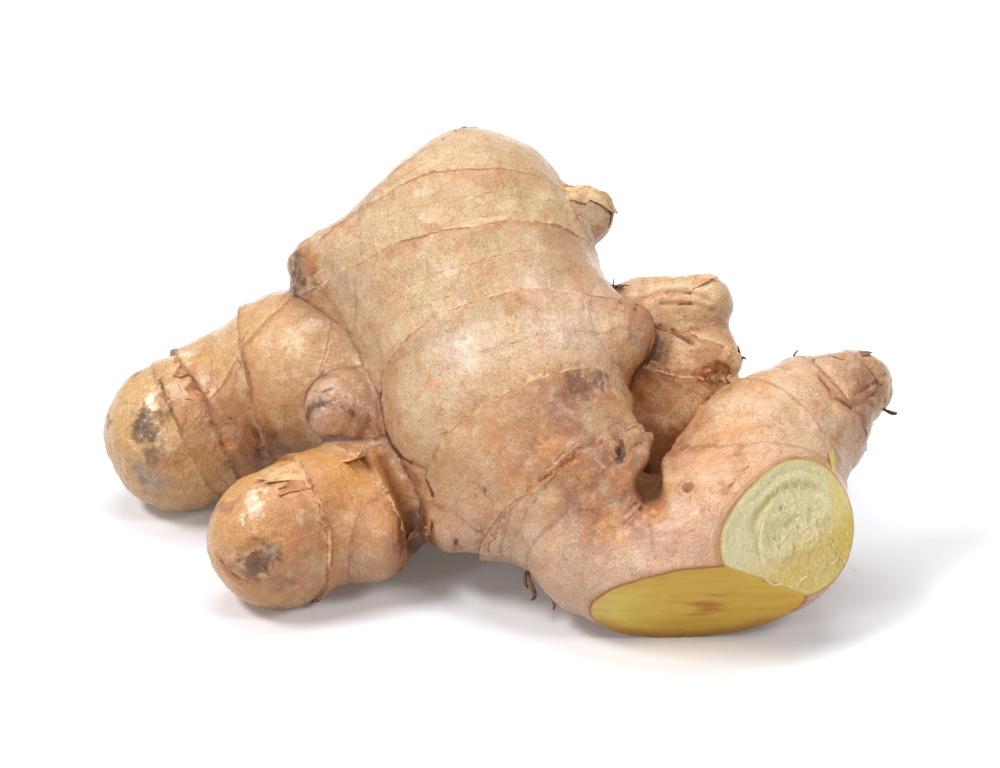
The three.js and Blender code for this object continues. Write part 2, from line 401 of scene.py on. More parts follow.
# Cracks and folds in the skin: half width, then points along each.
CRACKS = [
    (0.35, [(-20, -2.5, 37), (-21, -3, 33.5), (-20.5, -4, 30), (-19.5, -5.5, 27.5), (-17, -9, 25),
            (-14.5, -14.5, 26), (-11.5, -18.5, 25.5), (-10.5, -20, 22.5)]),
    (0.12, [(29, -30.5, 26.5), (27.5, -36.5, 28), (26, -37.5, 27), (24.5, -38.5, 26)]),
    (0.08, [(29, -28, 25.5), (26.5, -35.5, 28.5), (25, -37, 27.5)]),
    (0.6, [(24, -24.5, 36), (24.5, -26, 35), (24, -28, 33.5)]),
    (0.15, [(61.5, -13, 43.5), (64, -16, 41), (67, -16, 38.5)]),
    (0.1, [(68, -13.5, 40), (70.5, -10.5, 40), (73, -7, 40), (74.5, -4.5, 40)]),
    (0.1, [(67, -16, 38.5), (69.5, -13.5, 38.5), (72, -10, 38.5), (74, -6.5, 39)]),
    (0.12, [(60, -7.5, 44), (62, -6, 44), (65, -5, 44), (67.5, -6.5, 43.5)]),
    (0.1, [(70, -6, 42.5), (72, -6.5, 41), (73, -7, 39.5)]),
    (0.2, [(30.5, 5, 46), (33, 7, 44.5), (35, 7, 44), (37, 6, 43), (39, 5, 42)]),
    (0.08, [(29, 10, 49), (33, 11.5, 50), (38, 11, 50.5), (41.5, 10, 49)]),
    (0.06, [(33, 9.5, 48.5), (38.5, 9.5, 48.5), (43, 9.5, 47)]),
    (0.12, [(-6, -23.5, 15), (-6, -23, 13), (-6, -22.5, 11.5)]),
    (0.12, [(-43.5, -30.5, 18.5), (-43.5, -31, 17), (-43, -31.5, 15.5)]),
    (0.2, [(-50, -26.5, 13), (-48, -28.5, 11), (-44.5, -30.5, 9.5)]),
    (0.15, [(-65, 16.5, 29.5), (-64, 13.5, 28), (-64, 11.5, 26), (-63.5, 9, 24)]),
]
CRACK_REACH = 4.0
CRACK_LINES = [(half_width, onto_skin(np.array(path, float))) for half_width, path in CRACKS]


def crack_gap(points):
    """The distance from the nearest crack's edge, up to CRACK_REACH."""
    least = np.full(len(points), CRACK_REACH)
    for half_width, path in CRACK_LINES:
        for start, end in zip(path[:-1], path[1:]):
            along = end - start
            share = np.clip((points - start) @ along / (along @ along), 0, 1)
            distance = sizes(points - start - share[:, None] * along)
            least = np.minimum(least, distance - half_width)
    return least


# The corner that the back finger's blunt end keeps: its place, radius and rise.
BLUNT_CORNER, BLUNT_RADIUS, BLUNT_RISE = (43.5, 13, 48.5), 4.5, 1.7


def relief(points, reading):
    """How far the skin stands out from the plain round shape, in mm."""
    rings, _, _ = ring_marks(points, reading)
    lumps = 0.6 * LUMPS.at(points, 15) + 0.36 * LUMPS.at(points, 6.5) + 0.12 * LUMPS.at(points, 2.6)
    tip = smooth(reading.left_to_tip, 7, 0) * 0.3 + 0.12 * smooth(reading.crease, 0.4, 1.2)
    puckers = 0.3 * tip * (1 - 2 * np.abs(WRINKLE.at(reading.grain, 2.6)))
    shrivelled = smooth(reading.left_to_tip, 15, 4) * reading.family("right")
    broad_folds = 0.9 * (0.3 - np.abs(WRINKLE.at(points, 5)))
    narrow_folds = 0.4 * (0.3 - np.abs(TEAR.at(points, 2.2)))
    folds = shrivelled * (broad_folds + narrow_folds)
    fine = 0.06 * WRINKLE.at(reading.grain, 1.2) + 0.05 * TEAR.at(points, 1.1)
    grooves = -0.4 * smooth(crack_gap(points), 0.7, 0)
    corner = sizes(points - BLUNT_CORNER) / BLUNT_RADIUS
    lumps += BLUNT_RISE * np.exp(-corner ** 2)
    total = lumps + rings + puckers + folds + fine + grooves + pit_relief(points) + scar_relief(points)
    depth = np.minimum(*[-cut for cut in cut_distances(points, -reading.distance)])
    return total * smooth(depth, 0.2, 2.5)


def srgb(red, green, blue):
    """A colour as a picture shows it, 0 to 255, as linear red, green, blue and alpha."""
    def linear(part):
        part /= 255
        return part / 12.92 if part <= 0.04045 else ((part + 0.055) / 1.055) ** 2.4
    return (linear(red), linear(green), linear(blue), 1.0)


TONES = {
    "back_crown": (216, 182, 136), "back_collar": (206, 160, 112),
    "core": (196, 152, 106), "hand": (224, 190, 148), "left_finger": (218, 170, 106),
    "low_finger": (218, 156, 84), "back_finger": (226, 184, 130), "rear_finger": (212, 168, 118),
    "right_finger": (219, 180, 142), "foot": (222, 176, 142), "crown_bud": (218, 184, 148),
    "shoulder_bud": (214, 170, 128), "cheek_bud": (216, 180, 138), "chin_bud": (218, 170, 130),
    "armpit_bud": (226, 196, 164), "knee_bud": (212, 164, 116),
}
# Soft patches of other colours: red, green, blue, then x, y, z, radius and strength.
# Not all are the skin's own colour. Painted shade: the near-black patches down the right crotch (x about
# 29.5) and the left crotch (about -13, -19, 12), and the dark browns on the hand's lower front (x about 15 to
# 26, y -20 to -34) and on the left finger below the hand (about -47, 7, 20), which deepen a browner skin
# there too.
# Painted light: the pale patches on the back finger's shaded foot (about 35, 0, 30) and on the armpit bud
# (about -27, -6, 33), and a painted highlight on the hand's front at (-4, -14.5, 49.5).
TINTS_AND_PAINTED_SHADING = [
    ((226, 196, 140), (10, 16, 71), 6, 0.6), ((208, 174, 116), (-9, 8, 71), 8, 0.7),
    ((226, 172, 138), (-7, -24, 15), 6, 0.6), ((216, 156, 108), (2, -28, 32), 9, 0.7),
    ((202, 146, 98), (12, -26, 36), 9, 0.7), ((226, 180, 140), (13, -10, 51), 7, 0.5),
    ((228, 172, 140), (33, -43, 25), 8, 0.6), ((224, 166, 134), (27, -43, 21), 7, 0.5),
    ((196, 142, 100), (22, -32, 30), 8, 0.7), ((206, 150, 96), (-55, 10, 22), 7, 0.6),
    ((196, 138, 74), (-47, 7, 22), 6, 0.8), ((214, 156, 98), (-38, 6, 30), 7, 0.5),
    # The first patch below is a painted highlight on the hand's front.
    ((230, 202, 184), (-4, -14.5, 49.5), 6, 0.7), ((240, 206, 178), (15, -8, 52), 9, 0.8),
    ((236, 196, 166), (19, -5, 49), 6, 0.6), ((186, 128, 86), (18.5, -34.5, 29), 6, 0.8),
    ((186, 122, 78), (9.5, -26, 39), 7, 0.7), ((212, 148, 98), (-3.5, -25.5, 32.5), 8, 0.6),
    # Painted shade on the left finger below the hand.
    ((168, 106, 56), (-48.5, 7.5, 22.5), 7, 0.7), ((128, 70, 32), (-43, 7, 18), 6, 0.8),
    # Painted light on the armpit bud and the back finger's shaded foot.
    ((220, 190, 160), (-26.5, -5, 33), 6, 0.9), ((244, 190, 146), (29, 0, 32), 7, 0.6),
    ((238, 172, 116), (37, -1.5, 26), 8, 0.9), ((190, 128, 80), (69, -12, 38), 7, 0.7),
    ((222, 160, 104), (44, -26, 37), 7, 0.7), ((180, 116, 72), (-22, -22, 11), 7, 0.7),
    ((240, 198, 166), (27, -43, 21), 9, 0.6), ((190, 134, 84), (-38, -26, 15), 8, 0.5),
    ((206, 170, 124), (2, 12, 73), 13, 0.7), ((174, 120, 84), (20, -33, 29.5), 8, 1.3),
    ((184, 130, 92), (15, -22, 42), 8, 1.2), ((170, 112, 68), (-36, -30, 14), 8, 0.8),
    ((160, 112, 78), (-23, -27, 11), 6, 0.9), ((150, 96, 50), (-53, 9, 24), 6, 0.8),
    ((176, 124, 82), (71, -10, 39), 6, 0.9), ((200, 148, 100), (16, 4, 60), 7, 0.8),
    ((122, 64, 24), (-46, 7.5, 20), 4.5, 1), ((238, 190, 142), (33, 1, 33), 7, 0.7),
    ((240, 196, 148), (24, -5, 48), 5, 0.7), ((244, 206, 172), (8, -38, 24), 8, 0.7),
    # Painted shade: near-black patches down the right and left crotches.
    ((70, 42, 26), (29.5, -26, 23), 6, 1), ((66, 40, 26), (29.5, -17, 23), 8, 1),
    ((80, 50, 32), (30, -8, 22), 7, 1), ((92, 58, 36), (-14, -18, 13), 5, 0.8),
    # Painted shade on the hand's lower front and on the left finger below the hand.
    ((172, 118, 80), (26, -27, 30), 7, 0.9), ((182, 128, 88), (18, -20, 40), 6, 0.7),
    ((194, 140, 98), (18, -25, 33), 8, 0.6), ((158, 92, 44), (-47, 7, 18), 5, 0.9),
    ((186, 130, 78), (-55, 9, 23), 6, 0.8), ((196, 138, 90), (-35, -28, 17), 7, 0.6),
    ((238, 168, 84), (-47, -19, 22), 4.5, 0.9), ((228, 170, 112), (-38, -28, 16), 9, 0.5),
    ((206, 148, 96), (-30, -24, 12), 8, 0.6), ((226, 196, 168), (-28, -7, 33), 6, 0.9),
    ((228, 184, 146), (-20, -24, 12), 6, 0.5), ((214, 184, 132), (38, 8, 47), 8, 0.5),
    ((230, 180, 134), (37, -2, 26), 8, 0.9), ((222, 170, 122), (44, -34, 32), 9, 0.4),
    ((204, 150, 104), (68, -8, 36), 7, 0.7), ((224, 186, 146), (54, -18, 37), 8, 0.4),
    # Darkest painted shade on the hand's lower front, then on the left finger below the hand.
    ((136, 76, 38), (19.5, -33, 30.5), 7.5, 1), ((140, 80, 42), (17, -23, 40), 6.5, 1),
    ((168, 108, 66), (-34, -29, 18), 7, 0.7), ((112, 50, 12), (-47, 7, 20), 4.5, 1),
    ((152, 100, 66), (71, -9, 39), 6, 0.85), ((200, 156, 108), (-37, 10, 39), 9, 0.7),
    # Painted light on the back finger's shaded foot and on the armpit bud.
    ((254, 208, 158), (33.5, 1, 31), 7, 1), ((232, 202, 172), (-26, -5, 33), 6, 0.9),
    ((158, 100, 62), (30, -38, 28), 5, 0.7), ((196, 158, 112), (0, 12, 73), 12, 0.8),
    # Painted shade: the near-black patches down the right crotch and, last, the left crotch.
    ((220, 162, 104), (-45, -23, 24), 6, 0.7), ((46, 26, 16), (29.5, -28, 24.5), 4.5, 1.4),
    ((46, 26, 16), (29.5, -20, 23), 5, 1.4), ((58, 34, 20), (29.5, -12, 21), 5, 1.2),
    ((110, 66, 40), (-13, -19, 11), 4, 1),
]
STAIN_COLOURS = {
    "crust": (196, 132, 46), "rust": (178, 114, 62), "bruise": (104, 68, 46), "mottle": (150, 100, 62),
    "slate": (150, 134, 118), "ink": (58, 44, 38), "cream": (240, 222, 192), "plum": (152, 100, 70),
    "scar": (110, 68, 48), "umber": (150, 96, 58), "gold": (206, 146, 92),
}
# Ragged stains of each colour: x, y, z and radius.
STAINS = {
    "crust": [(0, 15, 75, 1.1)],
    "rust": [(-63, 6, 16, 1.5), (-59, 15, 31, 1.5), (-57, 20, 34, 1.5), (-49, 8, 24, 1.8),
        (-47, 7, 21, 1.7), (-47, 8, 27, 1.9), (-36, -31, 18, 1.6), (-35, -25, 24, 1.5),
        (-33.5, 15, 54, 2.4), (-27, -23, 22, 1.5), (-27, 18, 61, 1.3), (-24, 17, 64, 1.3),
        (-15, -13, 22, 1.7), (-12, -20, 16, 1.4), (6, -31, 32, 2), (9, -32, 34, 1.6), (20, -36, 28, 1.6),
        (22, -15, 40, 1.8), (22, 20, 61, 1.3), (24, -30, 32, 2.4), (27, 3, 31, 2.4), (28, 0, 49, 3),
        (31, -18, 21, 1.4), (33, -2, 20, 1.3), (33, 14, 48, 1.6), (34, -25, 27, 2.4), (34, -1, 23, 1.3),
        (34, 7, 41, 1.6), (36, -1, 26, 1.3), (38, 0, 27, 1.3), (39, -26, 35, 1.8), (39, 9, 43, 1.6),
        (41, -17, 36, 2.4), (41, 2, 29, 1.3), (43, -36, 34, 1.8), (44, 4, 31, 1.3), (46, -31, 36, 1.6),
        (47, 7, 32, 1.3), (60, -19, 38, 1.8), (63, -13, 40, 1.8)],
    "bruise": [(-64, 7, 17, 2.2), (-45, -30, 13, 1.4), (-36.5, 17, 52, 2), (-21, -7, 28, 1),
        (13, -20, 44, 1.6), (17, -17, 44, 2.2), (20, -14, 43, 1.9)],
    "mottle": [(-30, -23, 4, 2), (-29, -4, 37, 1.4), (23, -38, 28, 1.6), (24, -34, 31, 1.8),
        (24, -25, 35, 2), (26, -30, 33, 2.6), (27, -40, 27, 1.4), (29, -37, 28, 1.9), (29, -16, 21, 2.6)],
    "slate": [(-67, 7, 12, 2.8), (-41, -31.5, 17, 1.2), (-26, -7, 31, 1.3), (28, -3, 46, 1.3),
        (34, -36, 32, 1), (41, 5, 36, 1.4)],
    "gold": [(-52, 9, 20, 2.2), (-42, 9, 30, 2.6), (-36, 10, 26, 2.2), (-19, 8, 56, 2.2), (-14, 4, 59, 2.4),
        (-12, -14, 44, 1.8), (-8, 6, 66, 2), (0, -24, 38, 2.4), (4, -28, 28, 2.2), (5, -8, 57, 2.2),
        (12, -27, 36, 2.6), (16, -30, 30, 2.4), (22, -38, 24, 2.2), (27, 2, 48, 2.2), (30, -38, 28, 2.4),
        (36, 8, 49, 2.2), (46, -26, 38, 2), (50, -16, 41, 2.4), (57, -14, 42, 2.2)],
    "ink": [(-76, 17, 20, 1.6), (-68, 8, 11, 0.9), (-67, 10, 22, 2.4), (-66, 8, 20, 2.4),
        (-66, 11, 25, 2.2), (-43, -31.6, 15.5, 2.8), (-41.6, -32, 14, 2), (-37, 18, 50, 1.6),
        (-37, 19, 52, 1.8), (-31, -3, 36, 0.9), (23, 23, 64, 1.2), (24, 22, 61, 1.1), (36, -36, 32, 0.8),
        (46, 7, 36, 1.7), (47, 9, 34, 1.9), (74, -3, 38, 1.2)],
    "cream": [(-66, 13, 27, 1.6), (-60, 20, 33, 1.8), (-44, -25, 24, 2), (-31, 14, 52, 1.5),
        (-29, -7, 34, 1.2), (1, -28, 30, 0.5)],
    "scar": [(-2, -26, 28, 0.6), (40, -43, 27, 0.8)],
    "plum": [(-71, 23, 27, 1.5), (-57, 13, 31, 1.3), (-49, -21, 21, 1.8), (-48, -29, 12, 1.8),
        (-37, -31, 9, 2), (-23, -6, 28, 1.5)],
    "umber": [(32, -28, 25, 2.2), (37, -21, 31, 2.4), (41, 4, 36, 2.2), (43, 5, 35, 2.2),
        (45, -12, 39, 2.2), (65, -17, 36, 2.4), (67, -25, 24, 1.6), (68, -11, 39, 2.4), (69, -14, 34, 2.4),
        (70, -4, 40, 2.6), (72, -5, 38, 2.6), (74, -6, 36, 2.2)],
}


def tone_at(points, reading):
    """Each point's base colour: its shoot's own colour, mixed across the blends, under the soft tints, some
    of them painted shade and painted light.
    """
    colour = np.zeros((len(points), 4))
    total = np.zeros(len(points))
    for name, gap in reading.gaps.items():
        weight = np.exp(-np.clip(gap, -5, 30) / 1.6)
        colour += weight[:, None] * np.array(srgb(*TONES[name]))
        total += weight
    colour /= total[:, None]
    uneven = 1 + 0.7 * LUMPS.at(points, 5) + 0.4 * TEAR.at(points, 1.8)
    # Real tints, painted shade and painted light are all mixed in here.
    for tint, centre, radius, strength in TINTS_AND_PAINTED_SHADING:
        distance = sizes(points - centre) / radius
        share = np.clip(strength * np.exp(-distance * distance) * uneven, 0, 1)[:, None]
        colour = colour * (1 - share) + np.array(srgb(*tint)) * share
    return colour


def stain_at(points):
    """The stain colour nearest to each point, with its strength as alpha."""
    colour = np.zeros((len(points), 4))
    warp = np.stack([noise.at(points, 5) + noise.at(points, 1.8) for noise in (LUMPS, WOBBLE, TEAR)], axis=1)
    bent = points + 2.2 * warp
    for kind, places in STAINS.items():
        paint = srgb(*STAIN_COLOURS[kind])
        for *centre, radius in places:
            strength = 1 - 0.45 * sizes(bent - centre) / (1.3 * radius)
            stronger = strength > colour[:, 3]
            colour[stronger, :3] = paint[:3]
            colour[stronger, 3] = strength[stronger]
    return colour


def skin_points(points, rounds=5):
    """The nearest places on the finished skin, with the outward directions there."""
    base = onto_skin(points, rounds)
    reading = Reading(base)
    _, slope = trimmed(base, reading)
    normals = slope / np.maximum(sizes(slope), 0.3)[:, None]
    return base + normals * relief(base, reading)[:, None], normals


def mesh_of(points, faces, name):
    """A Blender mesh from points in mm."""
    mesh = bpy.data.meshes.new(name)
    mesh.from_pydata((np.asarray(points) * MM).tolist(), [], faces)
    mesh.update()
    return mesh


def placed(name, data):
    """A new object in the scene."""
    made = bpy.data.objects.new(name, data)
    bpy.context.scene.collection.objects.link(made)
    return made


def piece_of(mesh, name):
    """A smooth-shaded object in the scene for a mesh."""
    piece = placed(name, mesh)
    mesh.polygons.foreach_set("use_smooth", np.ones(len(mesh.polygons), bool))
    return piece


def points_of(mesh):
    """A mesh's points, in mm."""
    flat = np.zeros(len(mesh.vertices) * 3, np.float32)
    mesh.vertices.foreach_get("co", flat)
    return flat.reshape(-1, 3).astype(float) / MM


def move_points(mesh, points):
    """Puts a mesh's points at new places, in mm."""
    mesh.vertices.foreach_set("co", (points * MM).astype(np.float32).ravel())
    mesh.update()


def with_modifier(mesh, kind, **settings):
    """A new mesh: this one with one modifier applied."""
    holder = placed("holder", mesh)
    modifier = holder.modifiers.new("step", kind)
    for key, value in settings.items():
        setattr(modifier, key, value)
    graph = bpy.context.evaluated_depsgraph_get()
    made = bpy.data.meshes.new_from_object(holder.evaluated_get(graph))
    bpy.data.objects.remove(holder)
    return made


def store(mesh, **layers):
    """Stores each layer's number, vector or colour per point, for the materials."""
    kinds = {1: ("FLOAT", "value"), 3: ("FLOAT_VECTOR", "vector"), 4: ("FLOAT_COLOR", "color")}
    for name, values in layers.items():
        kind, field = kinds[values.size // len(values)]
        attribute = mesh.attributes.new(name, kind, "POINT")
        attribute.data.foreach_set(field, values.astype(np.float32).ravel())


def skin_mesh():
    """The CAD skin at fine resolution, with rings, wrinkles and scars."""
    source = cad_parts["ginger_rhizome"].data.copy()
    source = with_modifier(source, "WELD", merge_threshold=0.00001)
    fine = with_modifier(source, "REMESH", mode="VOXEL", voxel_size=SKIN_VOXEL * MM)
    points, _ = skin_points(points_of(fine), rounds=3)
    points[:, 2] = np.maximum(points[:, 2], 0)
    move_points(fine, points)
    share = SKIN_TRIANGLES / (2 * len(fine.polygons))
    return with_modifier(fine, "DECIMATE", ratio=share, use_collapse_triangulate=True)


def mark_skin(mesh):
    """Stores what the skin material reads, from colours with painted shade and light in them and stains to
    the grain.
    """
    points = points_of(mesh)
    reading = Reading(points)
    _, gap, dark = ring_marks(points, reading)
    rim = np.maximum(*cut_distances(points, -reading.distance))
    store(mesh, tone=tone_at(points, reading), stain=stain_at(points), ring_gap=np.clip(gap, -20, 20),
          ring_dark=dark, crease=reading.crease, tip=smooth(reading.left_to_tip, 9, 0),
          crack=crack_gap(points), rim=rim, grain=reading.grain)


def grid_faces(rows, columns, wrap=False):
    """Quads between the points of a grid, whose columns may close on themselves."""
    across = columns if wrap else columns - 1
    return [(r * columns + c, r * columns + (c + 1) % columns,
             (r + 1) * columns + (c + 1) % columns, (r + 1) * columns + c)
            for r in range(rows - 1) for c in range(across)]


def face_axes(normal):
    """Two directions that lie in a plane: across to the right, and up."""
    normal = unit(normal)
    across = unit(np.cross((0, 0, 1), normal))
    return across, np.cross(normal, across)


def flesh_points(centre, normal, outside, spokes, rings):
    """A wheel of points on a cut face, out to where outside says that the flesh ends."""
    across, up = face_axes(normal)
    angles = np.linspace(0, 2 * math.pi, spokes, endpoint=False)
    ways = np.outer(np.cos(angles), across) + np.outer(np.sin(angles), up)
    low, high = np.zeros(spokes), np.full(spokes, FLESH_REACH)
    for _ in range(22):
        middle = (low + high) / 2
        out = outside(centre + ways * middle[:, None]) > 0
        high = np.where(out, middle, high)
        low = np.where(out, low, middle)
    parts = 1 - (1 - np.linspace(0.01, 1, rings)) ** 1.25
    return (centre + parts[:, None, None] * (ways * low[:, None])[None]).reshape(-1, 3), parts


def flesh_slab(name, centre, normal, outside, height, spokes=420, rings=150):
    """A closed slab of flesh in a cut face; height gives its relief, in mm, from points and depths."""
    points, parts = flesh_points(centre, normal, outside, spokes, rings)
    depth = -Reading(points).distance
    rim = np.repeat(parts, spokes)
    rise = height(points, depth) - 0.22 * smooth(rim, 0.98, 1)
    top = points + np.outer(rise, unit(normal))
    wall = points[-spokes:] - FLESH_DEPTH * unit(normal)
    ends = np.array([top[:spokes].mean(0), centre - FLESH_DEPTH * unit(normal)])
    faces = grid_faces(rings + 1, spokes, wrap=True)
    count = (rings + 1) * spokes
    faces += [(count, (c + 1) % spokes, c) for c in range(spokes)]
    last = rings * spokes
    faces += [(count + 1, last + c, last + (c + 1) % spokes) for c in range(spokes)]
    made = np.vstack([top, wall, ends])
    made[:, 2] = np.maximum(made[:, 2], 0)
    faces = [face[::-1] for face in faces]
    mesh = mesh_of(made, faces, name)
    store(mesh, depth=np.concatenate([depth, np.zeros(spokes + 2)]))
    return mesh


def knife_outside(points):
    """Positive where a point of the knife plane has no flesh."""
    snap = past_plane(points, SNAP_POINT, SNAP_NORMAL)
    return np.maximum(Reading(points).distance + FLESH_INSET, snap + 0.1)


def snap_outside(points):
    """Positive where a point of the snapped face has no flesh."""
    knife = past_plane(points, KNIFE_POINT, KNIFE_NORMAL)
    return np.maximum(Reading(points).distance + FLESH_INSET, knife + 0.05)


def knife_height(points, depth):
    """A clean cut: nearly flat, a little proud in the middle, with faint drag lines."""
    across, up = face_axes(KNIFE_NORMAL)
    lines = WRINKLE.at(np.outer(points @ across, (0.06, 0, 0)) + np.outer(points @ up, (0, 1.0, 0)), 1.1)
    return 0.15 + 0.15 * smooth(depth, 0.2, 3) + 0.02 * lines + 0.04 * LUMPS.at(points, 5)


def snap_height(points, depth):
    """A torn face: grooves that follow its upper rim, rough fibres in the middle, and hollows."""
    _, snap = cut_distances(points, depth)
    roll = snap - past_plane(points, SNAP_POINT, SNAP_NORMAL)
    _, up = face_axes(SNAP_NORMAL)
    upper = smooth(towards_roll(points), -5, 4)
    along = (points @ up) * 0.12
    ribs = WRINKLE.at(np.stack([depth + 0.25 * LUMPS.at(points, 3), along, along * 0], axis=1), 1.0)
    split = np.exp(-((depth - 3.1 - 0.5 * WOBBLE.at(points, 7)) / 0.32) ** 2)
    middle = smooth(depth, 2.5, 5)
    stretched = points - np.outer((points @ up) * 0.75, up)
    strands = 0.3 * (0.5 - np.abs(WRINKLE.at(stretched, 1.6))) + 0.13 * TEAR.at(stretched, 0.6)
    pits = 0.8 * smooth(LUMPS.at(points + 40, 3.2), 0.25, 0.75)
    pits += 0.35 * smooth(TEAR.at(points, 1.4), 0.3, 0.8)
    rough = middle * (strands - pits + 0.35 * WOBBLE.at(points, 4))
    return 0.2 - roll + upper * (0.2 * ribs - 0.7 * split) + rough + 0.05 * TEAR.at(points, 0.5)


def build_flesh():
    """The fresh knife cut and the dry snapped face."""
    knife = piece_of(flesh_slab("knife_cut", KNIFE_CENTRE, KNIFE_NORMAL, knife_outside,
                                knife_height, 360, 100), "knife_cut")
    knife.data.materials.append(knife_material())
    snap = piece_of(flesh_slab("snapped_face", SNAP_CENTRE, SNAP_NORMAL, snap_outside,
                               snap_height), "snapped_face")
    snap.data.materials.append(snap_material())
    for piece in (knife, snap):
        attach(piece, "root")


# Papery scales: name, root on the skin, the way it points, length, half width, lift, curl in degrees, shade.
SCALES = [
    ("crown_scale", (13.5, 21, 66.5), (8, -0.5, -1.5), 9.5, 4.6, 0.7, 22, "cream"),
    ("low_top_scale", (-34, -17, 27), (-8, -3, -2), 10, 4.6, 0.7, 12, "tan"),
    ("low_top_under_scale", (-33, -20, 26.5), (-7, -5, -3), 7.5, 3, 0.35, 10, "rust"),
    ("low_curled_scale", (-26, -11.5, 26.8), (4, -3, -1), 6.5, 3.2, 0.5, 125, "tan"),
    ("knee_scale", (-14.5, -18, 12), (1, -2, 3), 3, 2, 0.3, 65, "rust"),
    ("chin_scale", (-10, -21, 17), (-3, -2, 0), 3, 1.7, 0.4, 120, "rust"),
    ("cheek_scale", (-30, 13, 53), (-5, 0, -1), 4.5, 2.4, 0.35, 20, "cream"),
    ("left_scale", (-57, 11, 30), (-3, 0, -1.5), 3, 3.8, 0.3, 25, "rust"),
    ("back_corner_scale", (39, 13.5, 50), (5, 0.5, 0.2), 5, 2.6, 0.9, -8, "tan"),
    ("back_sheath", (44, 5, 41), (4, 1, -6), 7, 3.6, 0.5, 30, "cream"),
    ("back_sheath_low", (40, 3.5, 38.5), (3, 0, -3), 3.5, 3, 0.5, 20, "rust"),
    ("back_rear_scale", (50, 12, 38), (6, 0, 1), 4.5, 2.2, 0.6, 40, "orange"),
    ("right_tip_scale", (70, -3, 43.5), (2, 0, 2), 2.8, 1.3, 0.6, -30, "dark"),
    ("back_thorn_left", (22, 14, 46), (1.5, 0, 3), 5, 1.3, 0.9, -50, "dark"),
    ("back_thorn_right", (27, 13, 47), (-1, 0, 3), 4.5, 1.2, 0.9, -50, "dark"),
    ("ring_tip_scale", (-1.5, -6, 53.5), (-1, 3, 3), 3.2, 1.6, 0.2, 5, "cream"),
    ("cut_tab", (63.6, -26, 30.5), (-0.3, 1.5, 4), 4.2, 1.5, 0.9, 30, "flesh"),
]
FREE_CURL = 60  # a scale that bends more than this leaves the skin


def sheet_mesh(points, rows, columns, name):
    """A thin papery sheet through a grid of points, kept off the floor."""
    points[:, 2] = np.maximum(points[:, 2], SHEET_THICKNESS)
    sheet = mesh_of(points, grid_faces(rows, columns), name)
    return with_modifier(sheet, "SOLIDIFY", thickness=SHEET_THICKNESS * MM, offset=0)


def ragged_shares(across, rows, seed):
    """How far along a scale each point of its grid lies, where about 1 is its torn tip."""
    rng = np.random.default_rng(seed)
    outline = 1 + 0.5 * np.interp(across, np.linspace(-1, 1, 9), rng.uniform(-0.7, 0.35, 9))
    outline += rng.uniform(-0.07, 0.07, len(across))
    return np.outer(np.linspace(0, 1, rows), (1 - 0.85 * np.abs(across) ** 2.2) * outline)


def scale_mesh(name, root, way, length, half_width, lift, curl, seed):
    """A thin ragged sheet that grows out of the skin and bends away from it."""
    rows, columns = 26, 30
    start, normals = skin_points(np.array([root], float))
    start, normal = start[0], normals[0]
    forward = unit(np.array(way, float) - normal * np.dot(way, normal))
    side = np.cross(normal, forward)
    across = np.linspace(-1, 1, columns)
    share = ragged_shares(across, rows, seed)
    reach = length * share
    narrowing = 1 - 0.25 * np.linspace(0, 1, rows)[:, None]
    base = start + (half_width * across * narrowing)[..., None] * side
    bend = math.radians(curl)
    turn = bend * share ** 1.3
    spread = (base + reach[..., None] * forward).reshape(-1, 3)
    crumple = WRINKLE.at(spread + seed, 2.2).reshape(share.shape)
    rise = -0.15 + lift * share ** 0.8 + 0.25 * crumple * share
    if abs(curl) < FREE_CURL:
        foot, out = skin_points(spread)
        rise += 0.1 * length * np.abs(turn) * share
        return sheet_mesh(foot + out * rise.reshape(-1, 1), rows, columns, name)
    foot, out = skin_points(base[0])
    radius = length / abs(bend)
    flat = radius * np.sin(turn) * np.sign(bend)
    rise += radius * (1 - np.cos(turn))
    points = foot[None] + flat[..., None] * forward + rise[..., None] * out[None]
    return sheet_mesh(points.reshape(-1, 3), rows, columns, name)


